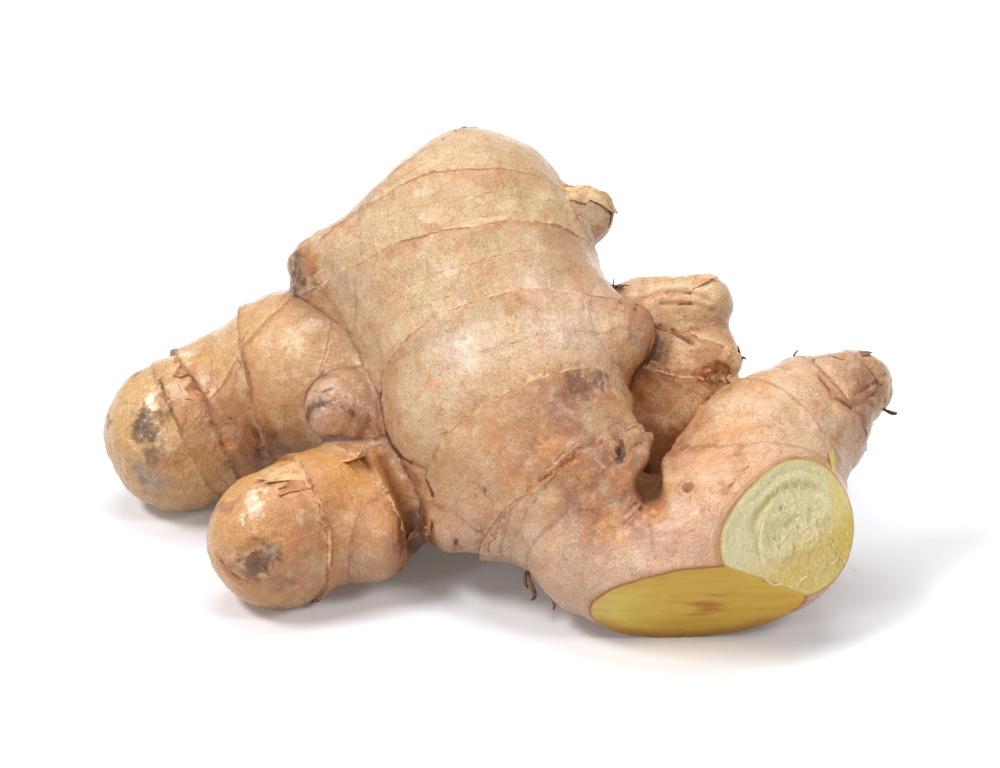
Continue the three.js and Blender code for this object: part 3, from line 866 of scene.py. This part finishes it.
# Ragged remains of leaf sheaths: name, the ring that they keep to or None, points along the foot,
# width, lift at the free edge and shade. Without a ring, the free edge is on the left of the way along.
RIBBONS = [
    ("dome_edge", 1, [(-22, 8, 62), (-14, 8, 70), (-5, 12, 75), (3, 16, 77)], 1.0, 0.2, "rust"),
    ("crown_edge", None, [(14.5, 23, 67), (18.3, 22.6, 67), (21, 21.6, 65.8), (22.6, 20.6, 63.6),
                          (23.2, 20.4, 60)], 1.3, 0.6, "dark"),
    ("dome_far_edge", 0, [(-4, 16, 76), (4, 19, 77), (10, 20, 75)], 0.9, 0.3, "dark"),
    ("neck_edge", 2, [(-12, 2, 60), (-5, 3, 66), (4, 5, 69), (14, 10, 66), (20, 16, 60)], 1.3, 0.3, "cream"),
    ("waist_edge", 3, [(-24, -4, 38), (-18, -12, 46), (-8, -14, 54), (4, -10, 58), (14, -4, 56), (21, 4, 50)],
     1.2, 0.3, "cream"),
    ("belly_edge", 4, [(-8, -22, 34), (-2, -24, 41), (6, -22, 46), (14, -16, 47), (22, -10, 44)],
     2.2, 0.6, "cream"),
    ("crotch_edge", 5, [(6, -30, 28), (10, -31, 34), (16, -29, 38), (22, -24, 38)], 1.5, 0.5, "rust"),
    ("left_tip_edge", 8, [(-58, 14, 32), (-56, 8, 29), (-54, 6, 24), (-54, 6, 17)], 1.7, 0.4, "rust"),
    ("left_middle_edge", 9, [(-46, 16, 38), (-45, 9, 33), (-45, 6, 27), (-46, 6, 19)], 1.5, 0.4, "tan"),
    ("left_top_flap", 8, [(-60, 24, 32), (-58, 18, 34), (-57, 13, 32)], 2.4, 0.6, "rust"),
    ("low_edge", 12, [(-31, -16, 27), (-29, -24, 23), (-29, -28, 16), (-30, -26, 8)], 1.2, 0.3, "tan"),
    ("knee_edge", 13, [(-18, -12, 24), (-16, -18, 20), (-17, -20, 14)], 1.2, 0.35, "tan"),
    ("sheath_edge", 15, [(30, 0, 36), (36, -1, 40), (42, 2, 40), (46, 6, 39)], 2.4, 0.7, "tan"),
    ("sheath_line", 14, [(30, 8, 46), (36, 6, 46), (42, 8, 44)], 1.3, 0.3, "rust"),
    ("right_collar", 16, [(62, -4, 44), (64, -12, 42), (66, -16, 36)], 1.1, 0.3, "tan"),
    ("right_root_edge", None, [(31, -22, 18), (35, -19, 26), (40, -13, 34), (47, -7, 42)], 2.8, 0.9, "rust"),
    ("cut_edge", None, [(42, -40, 33), (46, -35, 38), (52, -30, 40)], 1.0, 0.3, "rust"),
]


def ribbon_path(points, ring):
    """Even places along the ribbon's foot, its way along there, and the way to its free edge."""
    knots = np.array(points, float)
    lengths = np.concatenate([[0], np.cumsum(sizes(np.diff(knots, axis=0)))])
    places = np.linspace(0, lengths[-1], max(12, int(lengths[-1] / 0.35)))
    line = np.stack([np.interp(places, lengths, knots[:, k]) for k in range(3)], axis=1)
    for _ in range(3):
        line = onto_skin(line)
        if ring is not None:
            _, point, normal, _, _ = RINGS[ring]
            past = past_plane(line, point, normal) + ring_wobble(line)
            line -= past[:, None] * unit(normal)
        else:
            line[1:-1] = (line[:-2] + 2 * line[1:-1] + line[2:]) / 4
    line, out = skin_points(line)
    along = units(np.gradient(line, axis=0))
    free = np.cross(out, along) if ring is None else np.tile(unit(RINGS[ring][2]), (len(line), 1))
    return line, free, places


def ribbon_mesh(name, ring, points, width, lift, seed):
    """A torn strip of dry sheath that stands along a ring."""
    rows = 6
    line, free, places = ribbon_path(points, ring)
    ends = smooth(places, 0, 2) * smooth(places[-1] - places, 0, 2)
    torn = 0.55 + 0.9 * TEAR.at(line + seed, 2.4) + 0.6 * WRINKLE.at(line + seed, 0.9)
    reach = np.clip(width * torn * ends, 0.04, 1.5 * width)
    share = np.linspace(0, 1, rows)[:, None]
    foot = line + free * (reach * share - 0.2)[..., None]
    on_skin, out = skin_points(foot.reshape(-1, 3))
    tilt = lift * (0.6 + 0.8 * LUMPS.at(line + seed, 3.5)) * np.clip(reach / width, 0, 1)
    crumple = 0.2 * WRINKLE.at(on_skin + seed, 1.3).reshape(rows, -1)
    rise = -0.16 + (tilt + crumple) * share ** 1.2 + 0.12 * share
    return sheet_mesh(on_skin + out * rise.reshape(-1, 1), rows, len(line), name)


def build_scales():
    """Each loose scale and sheath edge as its own piece."""
    materials = {shade: scale_material(shade) for shade in SCALE_SHADES}
    made = []
    for seed, (name, root, way, length, half_width, lift, curl, shade) in enumerate(SCALES):
        made.append((name, shade, scale_mesh(name, root, way, length, half_width, lift, curl, seed)))
    for seed, (name, ring, points, width, lift, shade) in enumerate(RIBBONS):
        made.append((name, shade, ribbon_mesh(name, ring, points, width, lift, seed)))
    for name, shade, mesh in made:
        mesh.materials.append(materials[shade])
        piece = piece_of(mesh, name)
        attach(piece, "root")


# Fibres of the snapped face: points along each, across and up from its centre, then the thickness.
FIBRES = [
    ([(-11, 4), (-9.5, 4.5), (-8, 5), (-7.5, 4.5)], 0.1),
    ([(-3.5, 4.5), (-5, 2.5), (-7, 0.5), (-8, -1), (-8, -3.5), (-8.5, -5), (-8.5, -7)], 0.11),
    ([(0, 5.5), (-0.5, 4.5)], 0.08),
    ([(-1, 3), (-1, 1), (-0.5, 0)], 0.09),
    ([(0, 0), (-3, -3), (-4.5, -3.5)], 0.09),
    ([(6.5, -2), (4.5, -1.5), (2, -2.5), (0, -2.5)], 0.11),
    ([(9, -0.5), (8, 0), (7, -0.5)], 0.09),
    ([(6.5, -4), (7, -6), (8, -8), (9, -10.5), (10.5, -12), (12, -13)], 0.11),
    ([(8.5, -9), (7, -10), (6, -10)], 0.09),
    ([(-9.5, -8), (-8.5, -9), (-7, -10.5), (-5, -10.5)], 0.14),
    ([(-2, -12.5), (-1.5, -11.5), (0, -11), (1.5, -11)], 0.12),
    ([(3, 11.5), (4.5, 10.5), (5.5, 10.5), (6, 10)], 0.09),
]
FIBRE_LIFT = 0.45
SHORT_FIBRES = 90


def strand_mesh(paths, name, sides=6):
    """Thin tubes along paths of points, each with a radius, thinner towards both ends."""
    points, faces = [], []
    for path, radius in paths:
        path = np.array(path, float)
        knots = np.linspace(0, 1, len(path))
        places = np.linspace(0, 1, max(8, 5 * len(path)))
        kind = min(3, len(path) - 1)
        line = np.stack([np.polyval(np.polyfit(knots, path[:, k], kind), places) for k in range(3)], axis=1)
        ways = units(np.gradient(line, axis=0))
        first = units(np.cross(ways, (0.3, 0.2, 0.93)))
        second = np.cross(ways, first)
        size = radius * (0.25 + 0.75 * np.sin(math.pi * np.clip(places, 0.02, 0.98)) ** 0.5)
        angles = np.linspace(0, 2 * math.pi, sides, endpoint=False)
        rings = (line[:, None] + size[:, None, None] * (np.cos(angles)[None, :, None] * first[:, None]
                                                        + np.sin(angles)[None, :, None] * second[:, None]))
        start = len(points)
        points += rings.reshape(-1, 3).tolist()
        body = grid_faces(len(places), sides, wrap=True)
        faces += [tuple(start + corner for corner in face) for face in body]
        faces.append(tuple(start + corner for corner in reversed(range(sides))))
        last = start + (len(places) - 1) * sides
        faces.append(tuple(last + corner for corner in range(sides)))
    return mesh_of(points, faces, name)


def build_fibres():
    """Long loose fibres and many short broken ones on the snapped face."""
    rng = np.random.default_rng(7)
    normal = unit(SNAP_NORMAL)
    across, up = face_axes(SNAP_NORMAL)
    face = SNAP_CENTRE + normal * FIBRE_LIFT
    paths = [([face + across * x + up * y for x, y in path], size) for path, size in FIBRES]
    for _ in range(SHORT_FIBRES):
        middle = SNAP_CENTRE + across * rng.uniform(-7, 9) + up * rng.uniform(-12, 9)
        if snap_outside(middle[None])[0] > -2.0:
            continue
        way = unit(up + across * rng.normal(0, 0.5)) * rng.uniform(0.5, 1.8)
        bend = across * rng.normal(0, 0.35)
        lift = normal * rng.uniform(-0.1, 0.25)
        paths.append(([middle - way + lift, middle + bend + normal * 0.3, middle + way + lift],
                      rng.uniform(0.05, 0.1)))
    mesh = strand_mesh(paths, "flesh_fibres")
    mesh.materials.append(fibre_material())
    fibres = piece_of(mesh, "flesh_fibres")
    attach(fibres, "root")


# Rootlets and broken root stubs: points along each, then the thickness.
ROOTLETS = [
    ([(58, -2, 42), (57.6, -2.2, 43.2), (58.4, -2.6, 44.6)], 0.2),
    ([(6, -27, 8), (6.2, -28.4, 6.4), (7, -29, 4.6), (6.4, -29.4, 3.4)], 0.5),
    ([(5, -27, 7), (4.6, -28, 5.6), (5.2, -28.6, 4.2)], 0.35),
    ([(11, -30, 6), (11.6, -31.2, 4.8), (11.4, -31.8, 3.8)], 0.3),
    ([(-43, -31.5, 16), (-43.4, -33, 17), (-43, -34, 16.2)], 0.22),
    ([(-42, -32, 14), (-41.2, -33.4, 13.4), (-40.4, -33.8, 12.4)], 0.16),
    ([(73, -6, 34), (74.6, -7, 33.6), (75.4, -7.4, 33.9)], 0.4),
]


def build_rootlets():
    """Dry rootlets that still hang on the skin."""
    paths = []
    for path, size in ROOTLETS:
        line = np.array(path, float)
        anchor, _ = skin_points(line[:1])
        paths.append((line + (anchor[0] - line[0]), size))
    mesh = strand_mesh(paths, "rootlets")
    mesh.materials.append(scale_material("root"))
    rootlets = piece_of(mesh, "rootlets")
    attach(rootlets, "root")


class Shades:
    """A material's nodes, made one call at a time."""

    def __init__(self, name):
        self.material = bpy.data.materials.new(name)
        self.material.use_nodes = True
        self.tree = self.material.node_tree
        self.shader = self.tree.nodes["Principled BSDF"]

    def feed(self, socket, value):
        """Links or sets one input."""
        if isinstance(value, bpy.types.NodeSocket):
            self.tree.links.new(value, socket)
        else:
            socket.default_value = value

    def add(self, kind, inputs, out=0, **settings):
        """Adds a node and gives back one of its outputs."""
        node = self.tree.nodes.new(kind)
        for key, value in settings.items():
            setattr(node, key, value)
        for key, value in inputs.items():
            self.feed(node.inputs[key], value)
        return node.outputs[out]

    def attribute(self, name, out="Fac"):
        """What mark_skin or flesh_slab stored on the mesh under a name."""
        return self.add("ShaderNodeAttribute", {}, out, attribute_name=name)

    def place(self):
        """Where a point is on the object, in mm."""
        where = self.add("ShaderNodeTexCoord", {}, "Object")
        return self.add("ShaderNodeVectorMath", {0: where, 3: 1000.0}, operation="SCALE")

    def axes(self, vector):
        """The x, y and z of a vector."""
        parts = self.tree.nodes.new("ShaderNodeSeparateXYZ")
        self.feed(parts.inputs["Vector"], vector)
        return parts.outputs

    def noise(self, vector, size, detail=2.0, roughness=0.5):
        """Noise from 0 to 1 with features about size mm across."""
        inputs = {"Vector": vector, "Scale": 1 / size, "Detail": detail, "Roughness": roughness}
        return self.add("ShaderNodeTexNoise", inputs)

    def maths(self, operation, a, b):
        """One sum of two values."""
        return self.add("ShaderNodeMath", {0: a, 1: b}, operation=operation)

    def between(self, value, low, high):
        """0 to 1 as value goes from low to high, smooth at both ends."""
        inputs = {"Value": value, "From Min": low, "From Max": high}
        return self.add("ShaderNodeMapRange", inputs, interpolation_type="SMOOTHSTEP")

    def product(self, first, *others):
        """Values multiplied together."""
        for other in others:
            first = self.maths("MULTIPLY", first, other)
        return first

    def mix(self, factor, a, b):
        """Colour a turning into b as factor goes from 0 to 1."""
        return self.add("ShaderNodeMix", {0: factor, 6: a, 7: b}, 2, data_type="RGBA")

    def painted(self, colour, *coats):
        """The colour under coats of paint: each a mask, a paint and the most of it that shows."""
        for mask, paint, share in coats:
            colour = self.mix(self.product(mask, share), colour, srgb(*paint))
        return colour

    def graded(self, colour, *coats):
        """The same, where each coat comes in as a value goes from low to high."""
        return self.painted(colour, *[(self.between(value, low, high), paint, share)
                                      for value, low, high, paint, share in coats])

    def toned(self, colour, value, low, high):
        """The colour times low to high as value goes from 0.3 to 0.7."""
        times = self.add("ShaderNodeMapRange", {"Value": value, "From Min": 0.3, "From Max": 0.7,
                                                "To Min": low, "To Max": high})
        return self.add("ShaderNodeVectorMath", {0: colour, 3: times}, operation="SCALE")

    def total(self, *parts):
        """The sum of (value, times) pairs."""
        whole = 0.0
        for value, times in parts:
            whole = self.maths("ADD", self.maths("MULTIPLY", value, times), whole)
        return whole

    def surface(self, inputs):
        """Links or sets some of the shader's inputs."""
        for name, value in inputs.items():
            self.feed(self.shader.inputs[name], value)

    def finish(self, colour, roughness, height):
        """Connects colour, roughness and a height in mm to the shader."""
        bump = self.add("ShaderNodeBump", {"Strength": 1.0, "Distance": MM, "Height": height})
        self.surface({"Base Color": colour, "Roughness": roughness, "Normal": bump})
        return self.material


def skin_noises(nodes):
    """The noises that the skin's colour and relief share, from broad to fine."""
    place = nodes.place()
    grain = nodes.attribute("grain", "Vector")
    return SimpleNamespace(
        warmth=nodes.noise(place, 13, 3, 0.6),
        patches=nodes.noise(place, 9, 4, 0.6),
        clouds=nodes.noise(place, 3.4, 5, 0.68),
        ragged=nodes.noise(place, 2.6, 4, 0.65),
        gold=nodes.noise(place, 1.9, 4, 0.72),
        strands=nodes.noise(grain, 1.6, 2),
        crumbs=nodes.noise(place, 1.3, 4, 0.7),
        fibres=nodes.noise(grain, 0.5, 3, 0.65),
        flecks=nodes.noise(place, 0.45, 1),
        specks=nodes.noise(place, 0.26, 2, 0.6),
    )


def mottled(nodes, noises):
    """The skin's soft tones with their painted shade and light, broken up by warm and pale clouds, fibres and
    fine specks.
    """
    colour = nodes.graded(
        nodes.attribute("tone", "Color"),
        (noises.warmth, 0.5, 0.64, (214, 148, 86), 0.4),
        (noises.patches, 0.5, 0.66, (236, 208, 160), 0.38),
        (noises.clouds, 0.5, 0.68, (206, 146, 98), 0.5),
        (noises.clouds, 0.47, 0.34, (238, 212, 182), 0.24))
    colour = nodes.toned(colour, noises.specks, 0.74, 1.2)
    colour = nodes.toned(colour, noises.fibres, 0.8, 1.16)
    colour = nodes.toned(colour, noises.strands, 0.93, 1.05)
    few = nodes.product(nodes.between(noises.flecks, 0.62, 0.7), nodes.between(noises.clouds, 0.38, 0.56))
    gold = nodes.between(noises.gold, 0.59, 0.7)
    return nodes.painted(colour, (few, (150, 98, 62), 0.65), (gold, (204, 138, 70), 0.5))


def crease_shade_and_tip_rust(nodes, noises, colour):
    """Painted shade in the creases between shoots, broken up by noise, and rusty specks that grow towards
    their tips.
    """
    tip = nodes.attribute("tip")
    crease = nodes.total((nodes.attribute("crease"), 0.7), (noises.crumbs, 0.9), (tip, 0.25))
    # The darker coats here are painted shade, darkest where shoots meet.
    return nodes.graded(
        colour,
        (crease, 0.7, 1.15, (172, 110, 68), 0.6),
        (crease, 1.15, 1.55, (84, 52, 34), 0.85))


def ringed(nodes, noises, colour):
    """A thin rusty line at each ring, pale above and speckled below, and the line's mask."""
    gap = nodes.attribute("ring_gap")
    gap = nodes.total((gap, 1.0), (noises.crumbs, 0.9), (noises.flecks, 0.3), (-0.6, 1.0))
    dark = nodes.attribute("ring_dark")
    above = nodes.product(nodes.between(gap, 2.2, 0.5), nodes.between(gap, 0.2, 0.5),
                          nodes.between(noises.ragged, 0.44, 0.56), dark)
    speckles = nodes.total((noises.specks, 0.5), (noises.crumbs, 0.5), (noises.clouds, 0.3))
    below = nodes.product(nodes.between(gap, -5.5, -0.2), nodes.between(gap, 0.3, 0.0),
                          nodes.between(speckles, 0.56, 0.76), dark)
    fade = nodes.maths("ADD", nodes.product(nodes.between(noises.warmth, 0.42, 0.56), 0.65), 0.35)
    line = nodes.product(nodes.between(gap, -0.9, -0.2), nodes.between(gap, 0.5, 0.2), fade,
                         nodes.between(noises.ragged, 0.26, 0.42))
    rust = nodes.product(line, dark)
    coats = (above, (242, 218, 180), 0.5), (below, (192, 124, 66), 0.7), (rust, (150, 84, 34), 1.0)
    return nodes.painted(colour, *coats), line


def stained(nodes, noises, colour):
    """Ragged, dappled stains, and their mask."""
    stain = nodes.total((nodes.attribute("stain", "Alpha"), 1.0), (noises.clouds, 0.8), (noises.crumbs, 1.1),
                        (noises.fibres, 0.5), (-1.2, 1.0))
    mask = nodes.between(stain, 0.34, 0.86)
    dapple = nodes.toned(nodes.attribute("stain", "Color"), noises.crumbs, 0.55, 1.45)
    dapple = nodes.toned(dapple, noises.specks, 0.75, 1.25)
    return nodes.mix(nodes.product(mask, 0.8), colour, dapple), mask


def cracked(nodes, noises, colour):
    """Dark splits with brown edges, and the splits' mask."""
    crack = nodes.total((nodes.attribute("crack"), 1.0), (noises.crumbs, 0.6), (-0.3, 1.0))
    edges, split = nodes.between(crack, 1.6, 0.3), nodes.between(crack, 0.28, 0.02)
    return nodes.painted(colour, (edges, (178, 116, 70), 0.4), (split, (84, 52, 34), 0.85)), split


def skin_material():
    """Thin tan ginger skin: a fine grain, brown flecks, rusty rings, stains, cracks and painted shade in its
    creases.
    """
    nodes = Shades("ginger_skin")
    noises = skin_noises(nodes)
    colour = crease_shade_and_tip_rust(nodes, noises, mottled(nodes, noises))
    colour, line = ringed(nodes, noises, colour)
    colour, stains = stained(nodes, noises, colour)
    colour, split = cracked(nodes, noises, colour)
    colour = nodes.graded(colour, (nodes.attribute("rim"), -0.45, -0.05, (190, 134, 80), 0.6))
    roughness = nodes.total((noises.crumbs, 0.14), (noises.specks, 0.12), (stains, 0.2),
                            (noises.patches, 0.24), (0.02, 1.0))
    height = nodes.total((noises.specks, 0.11), (noises.fibres, 0.1), (noises.strands, 0.08),
                         (noises.flecks, 0.05), (noises.crumbs, 0.2), (line, -0.1), (split, -0.25))
    nodes.surface({"Specular IOR Level": 0.4, "Coat Weight": 0.3, "Coat Roughness": 0.22})
    return nodes.finish(colour, roughness, height)


KNIFE_STAIN = (39.8, -39.5, 10.0)  # the middle of the rusty stain on the cut


def knife_material():
    """Wet yellow flesh: clear and greenish by the skin, deeper in the middle, with a rusty stain."""
    nodes = Shades("knife_cut")
    place = nodes.place()
    depth = nodes.attribute("depth")
    side, _, level = nodes.axes(place)
    streaked = nodes.add("ShaderNodeMapping", {"Vector": place, "Scale": (0.14, 0.5, 1.0)})
    streaks = nodes.noise(streaked, 1.4, 4, 0.6)
    clouds = nodes.noise(place, 6, 2)
    dots = nodes.noise(place, 0.9, 1)
    away = nodes.add("ShaderNodeVectorMath", {0: place, 1: KNIFE_STAIN}, "Value", operation="DISTANCE")
    stain = nodes.total((away, -0.14), (streaks, 1.6), (0.35, 1.0))
    white = nodes.product(nodes.between(dots, 0.72, 0.78), nodes.between(away, 7, 4))
    low = nodes.maths("ADD", nodes.product(nodes.between(level, 9, 3), 0.7), 0.2)
    amber = nodes.product(nodes.between(depth, 2.6, 0.5), low)
    colour = nodes.graded(
        nodes.mix(nodes.between(side, 18, 34), srgb(244, 222, 114), srgb(230, 186, 70)),
        (side, 44, 60, (242, 198, 76), 1.0),
        (streaks, 0.42, 0.7, (212, 162, 48), 0.5),
        (clouds, 0.5, 0.75, (250, 224, 104), 0.35),
        (stain, 0.5, 1.15, (188, 116, 30), 0.8))
    colour = nodes.painted(colour, (white, (236, 216, 160), 1.0), (amber, (196, 130, 46), 1.0))
    colour = nodes.graded(colour, (depth, 0.4, 0.15, (176, 112, 52), 1.0))
    nodes.surface({"Specular IOR Level": 0.3, "Subsurface Weight": 0.25,
                   "Subsurface Radius": (1.0, 0.6, 0.2), "Subsurface Scale": 0.0012})
    roughness = nodes.total((streaks, 0.2), (0.28, 1.0))
    return nodes.finish(colour, roughness, nodes.total((streaks, 0.05), (dots, 0.02)))


def snap_material():
    """Dry torn flesh: pale straw fibres, gray-green towards the upper rim, yellow by the right rim."""
    nodes = Shades("snapped_face")
    place = nodes.place()
    depth = nodes.attribute("depth")
    x, y, z = nodes.axes(place)
    stretched = nodes.add("ShaderNodeMapping", {"Vector": place, "Scale": (1.0, 0.8, 0.3)})
    fibres = nodes.noise(stretched, 0.5, 4, 0.7)
    crumbs = nodes.noise(place, 0.7, 3, 0.7)
    clouds = nodes.noise(place, 3.5, 3)
    upper = nodes.total((x, -0.6), (z, 0.7), (18.5, 1.0))
    right = nodes.total((x, 1.0), (y, 0.35), (-48.6, 1.0))
    low = nodes.total((z, 1.0), (x, -0.25), (-4.0, 1.0))
    colour = nodes.graded(
        nodes.mix(nodes.between(clouds, 0.35, 0.7), srgb(255, 244, 198), srgb(250, 234, 176)),
        (upper, -2, 6, (220, 208, 158), 0.6),
        (right, 2.0, 3.8, (238, 216, 118), 0.7),
        (low, 6, 0, (222, 186, 78), 0.75),
        (fibres, 0.5, 0.72, (250, 244, 212), 0.6),
        (fibres, 0.46, 0.3, (184, 164, 100), 0.5),
        (crumbs, 0.62, 0.75, (192, 168, 88), 0.5),
        (depth, 0.35, 0.1, (200, 158, 80), 1.0))
    nodes.surface({"Specular IOR Level": 0.35})
    roughness = nodes.total((crumbs, 0.2), (0.5, 1.0))
    return nodes.finish(colour, roughness, nodes.total((fibres, 0.3), (crumbs, 0.25)))


def fibre_material():
    """Pale dry flesh fibres."""
    nodes = Shades("flesh_fibres")
    tint = nodes.noise(nodes.place(), 1.5, 2)
    colour = nodes.mix(nodes.between(tint, 0.35, 0.65), srgb(240, 232, 190), srgb(222, 206, 140))
    return nodes.finish(colour, nodes.total((tint, 0.2), (0.45, 1.0)), nodes.total((tint, 0.03)))


# Papery shades: light colour, dark colour, edge colour.
SCALE_SHADES = {
    "cream": ((226, 196, 152), (196, 146, 96), (244, 226, 190)),
    "tan": ((224, 180, 132), (196, 140, 92), (246, 224, 184)),
    "rust": ((200, 140, 88), (160, 98, 58), (232, 190, 138)),
    "orange": ((222, 150, 84), (190, 112, 58), (238, 190, 130)),
    "dark": ((120, 86, 64), (78, 54, 42), (190, 150, 110)),
    "root": ((140, 98, 66), (84, 54, 36), (170, 120, 80)),
    "flesh": ((232, 214, 118), (212, 190, 86), (244, 232, 160)),
}


def scale_material(shade):
    """Dry papery scale or root skin, with fine streaks."""
    light, dark, edge = SCALE_SHADES[shade]
    nodes = Shades("papery_" + shade)
    place = nodes.place()
    streaks = nodes.noise(place, 0.7, 4, 0.65)
    clouds = nodes.noise(place, 2.4, 3)
    colour = nodes.mix(nodes.between(clouds, 0.35, 0.65), srgb(*light), srgb(*dark))
    colour = nodes.graded(colour, (streaks, 0.52, 0.7, edge, 0.7))
    roughness = nodes.total((streaks, 0.25), (0.42, 1.0))
    return nodes.finish(colour, roughness, nodes.total((streaks, 0.15), (clouds, 0.1)))


def build_skin():
    """The skin piece, which stands for the CAD node."""
    mesh = skin_mesh()
    mark_skin(mesh)
    skin = piece_of(mesh, "ginger_skin")
    mesh.materials.clear()
    mesh.materials.append(skin_material())
    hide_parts("ginger_rhizome")
    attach(skin, "root")


CAMERA_TARGET = (0.0022, 0, 0.036)
CAMERA_DISTANCE = 0.53
CAMERA_ELEVATION = 25
CAMERA_LENS = 100


def build_camera():
    """The photograph's view: a little above, from the front."""
    camera = placed("camera", bpy.data.cameras.new("camera"))
    elevation = math.radians(CAMERA_ELEVATION)
    toward = Vector((0, -math.cos(elevation), math.sin(elevation)))
    camera.location = Vector(CAMERA_TARGET) + toward * CAMERA_DISTANCE
    camera.rotation_euler = (-toward).to_track_quat("-Z", "Y").to_euler()
    camera.data.lens = CAMERA_LENS
    camera.data.sensor_width = 36
    camera.data.clip_start = 0.01
    bpy.context.scene.camera = camera


def directly_seen(tree):
    """A socket that is 1 for rays from the camera and those that gloss or glass pass on, else 0."""
    path = tree.nodes.new("ShaderNodeLightPath")
    seen = path.outputs["Is Camera Ray"]
    for kind in ("Is Transmission Ray", "Is Glossy Ray"):
        either = tree.nodes.new("ShaderNodeMath")
        either.operation = "MAXIMUM"
        tree.links.new(seen, either.inputs[0])
        tree.links.new(path.outputs[kind], either.inputs[1])
        seen = either.outputs[0]
    return seen


FLOOR_HALF = 3.0  # metres


def build_floor():
    """A white floor that keeps the root's shadow close by. Painted light pales that shadow from 70 mm out:
    the camera sees a glow there, and the floor fades into the white beyond it. It throws back less light than
    the camera sees on it.
    """
    corners = [(x * FLOOR_HALF, y * FLOOR_HALF, 0) for x, y in ((-1, -1), (1, -1), (1, 1), (-1, 1))]
    mesh = bpy.data.meshes.new("floor")
    mesh.from_pydata(corners, [], [(0, 1, 2, 3)])
    floor = placed("floor", mesh)
    nodes = Shades("floor")
    seen = directly_seen(nodes.tree)
    reach = nodes.add("ShaderNodeVectorMath", {0: nodes.place()}, "Value", operation="LENGTH")
    # Painted light: a glow for camera rays from 70 mm out pales the root's shadow there.
    near, far = nodes.between(reach, 70, 160), nodes.between(reach, 200, 900)
    glow_and_painted_light = nodes.total((near, 0.14), (far, 1.0), (0.08, 1.0))
    nodes.surface({"Base Color": nodes.mix(seen, srgb(206, 207, 212), srgb(249, 250, 255)),
                   "Roughness": 0.9, "Specular IOR Level": 0.0,
                   "Emission Color": (1, 1, 1, 1), "Emission Strength": nodes.product(seen, glow_and_painted_light)})
    mesh.materials.append(nodes.material)


WORLD_LIGHT = 0.12


def build_world():
    """Even light from all round, white where the camera sees past the floor."""
    world = bpy.data.worlds.new("studio")
    bpy.context.scene.world = world
    world.use_nodes = True
    tree = world.node_tree
    background = tree.nodes["Background"]
    background.inputs["Color"].default_value = (1, 1, 1, 1)
    strength = tree.nodes.new("ShaderNodeMapRange")
    strength.inputs["To Min"].default_value = WORLD_LIGHT
    strength.inputs["To Max"].default_value = 1.0
    tree.links.new(directly_seen(tree), strength.inputs["Value"])
    tree.links.new(strength.outputs["Result"], background.inputs["Strength"])


# Lamps, in metres and watts: name, place, width, height and power.
LAMPS = [
    ("key", (-0.62, -0.24, 0.95), 0.5, 0.24, 7.4),
    ("front", (-0.75, -0.85, 0.5), 0.16, 0.16, 2.0),
    ("overhead", (0.05, 0.32, 1.2), 0.9, 0.7, 8.2),
    ("fill", (0.75, -0.55, 0.85), 0.3, 0.3, 4.7),
]
LAMP_TARGET = (0, 0, 0.03)


def build_lamps():
    """Soft rectangular lamps, aimed at the root."""
    for name, place, width, height, power in LAMPS:
        data = bpy.data.lights.new(name, "AREA")
        data.shape = "RECTANGLE"
        data.size = width
        data.size_y = height
        data.energy = power
        lamp = placed(name, data)
        lamp.location = place
        aim = Vector(LAMP_TARGET) - Vector(place)
        lamp.rotation_euler = aim.to_track_quat("-Z", "Y").to_euler()


bpy.context.scene.view_settings.view_transform = "Standard"
build_camera()
build_world()
build_lamps()
build_floor()
build_skin()
build_flesh()
build_fibres()
build_scales()
build_rootlets()
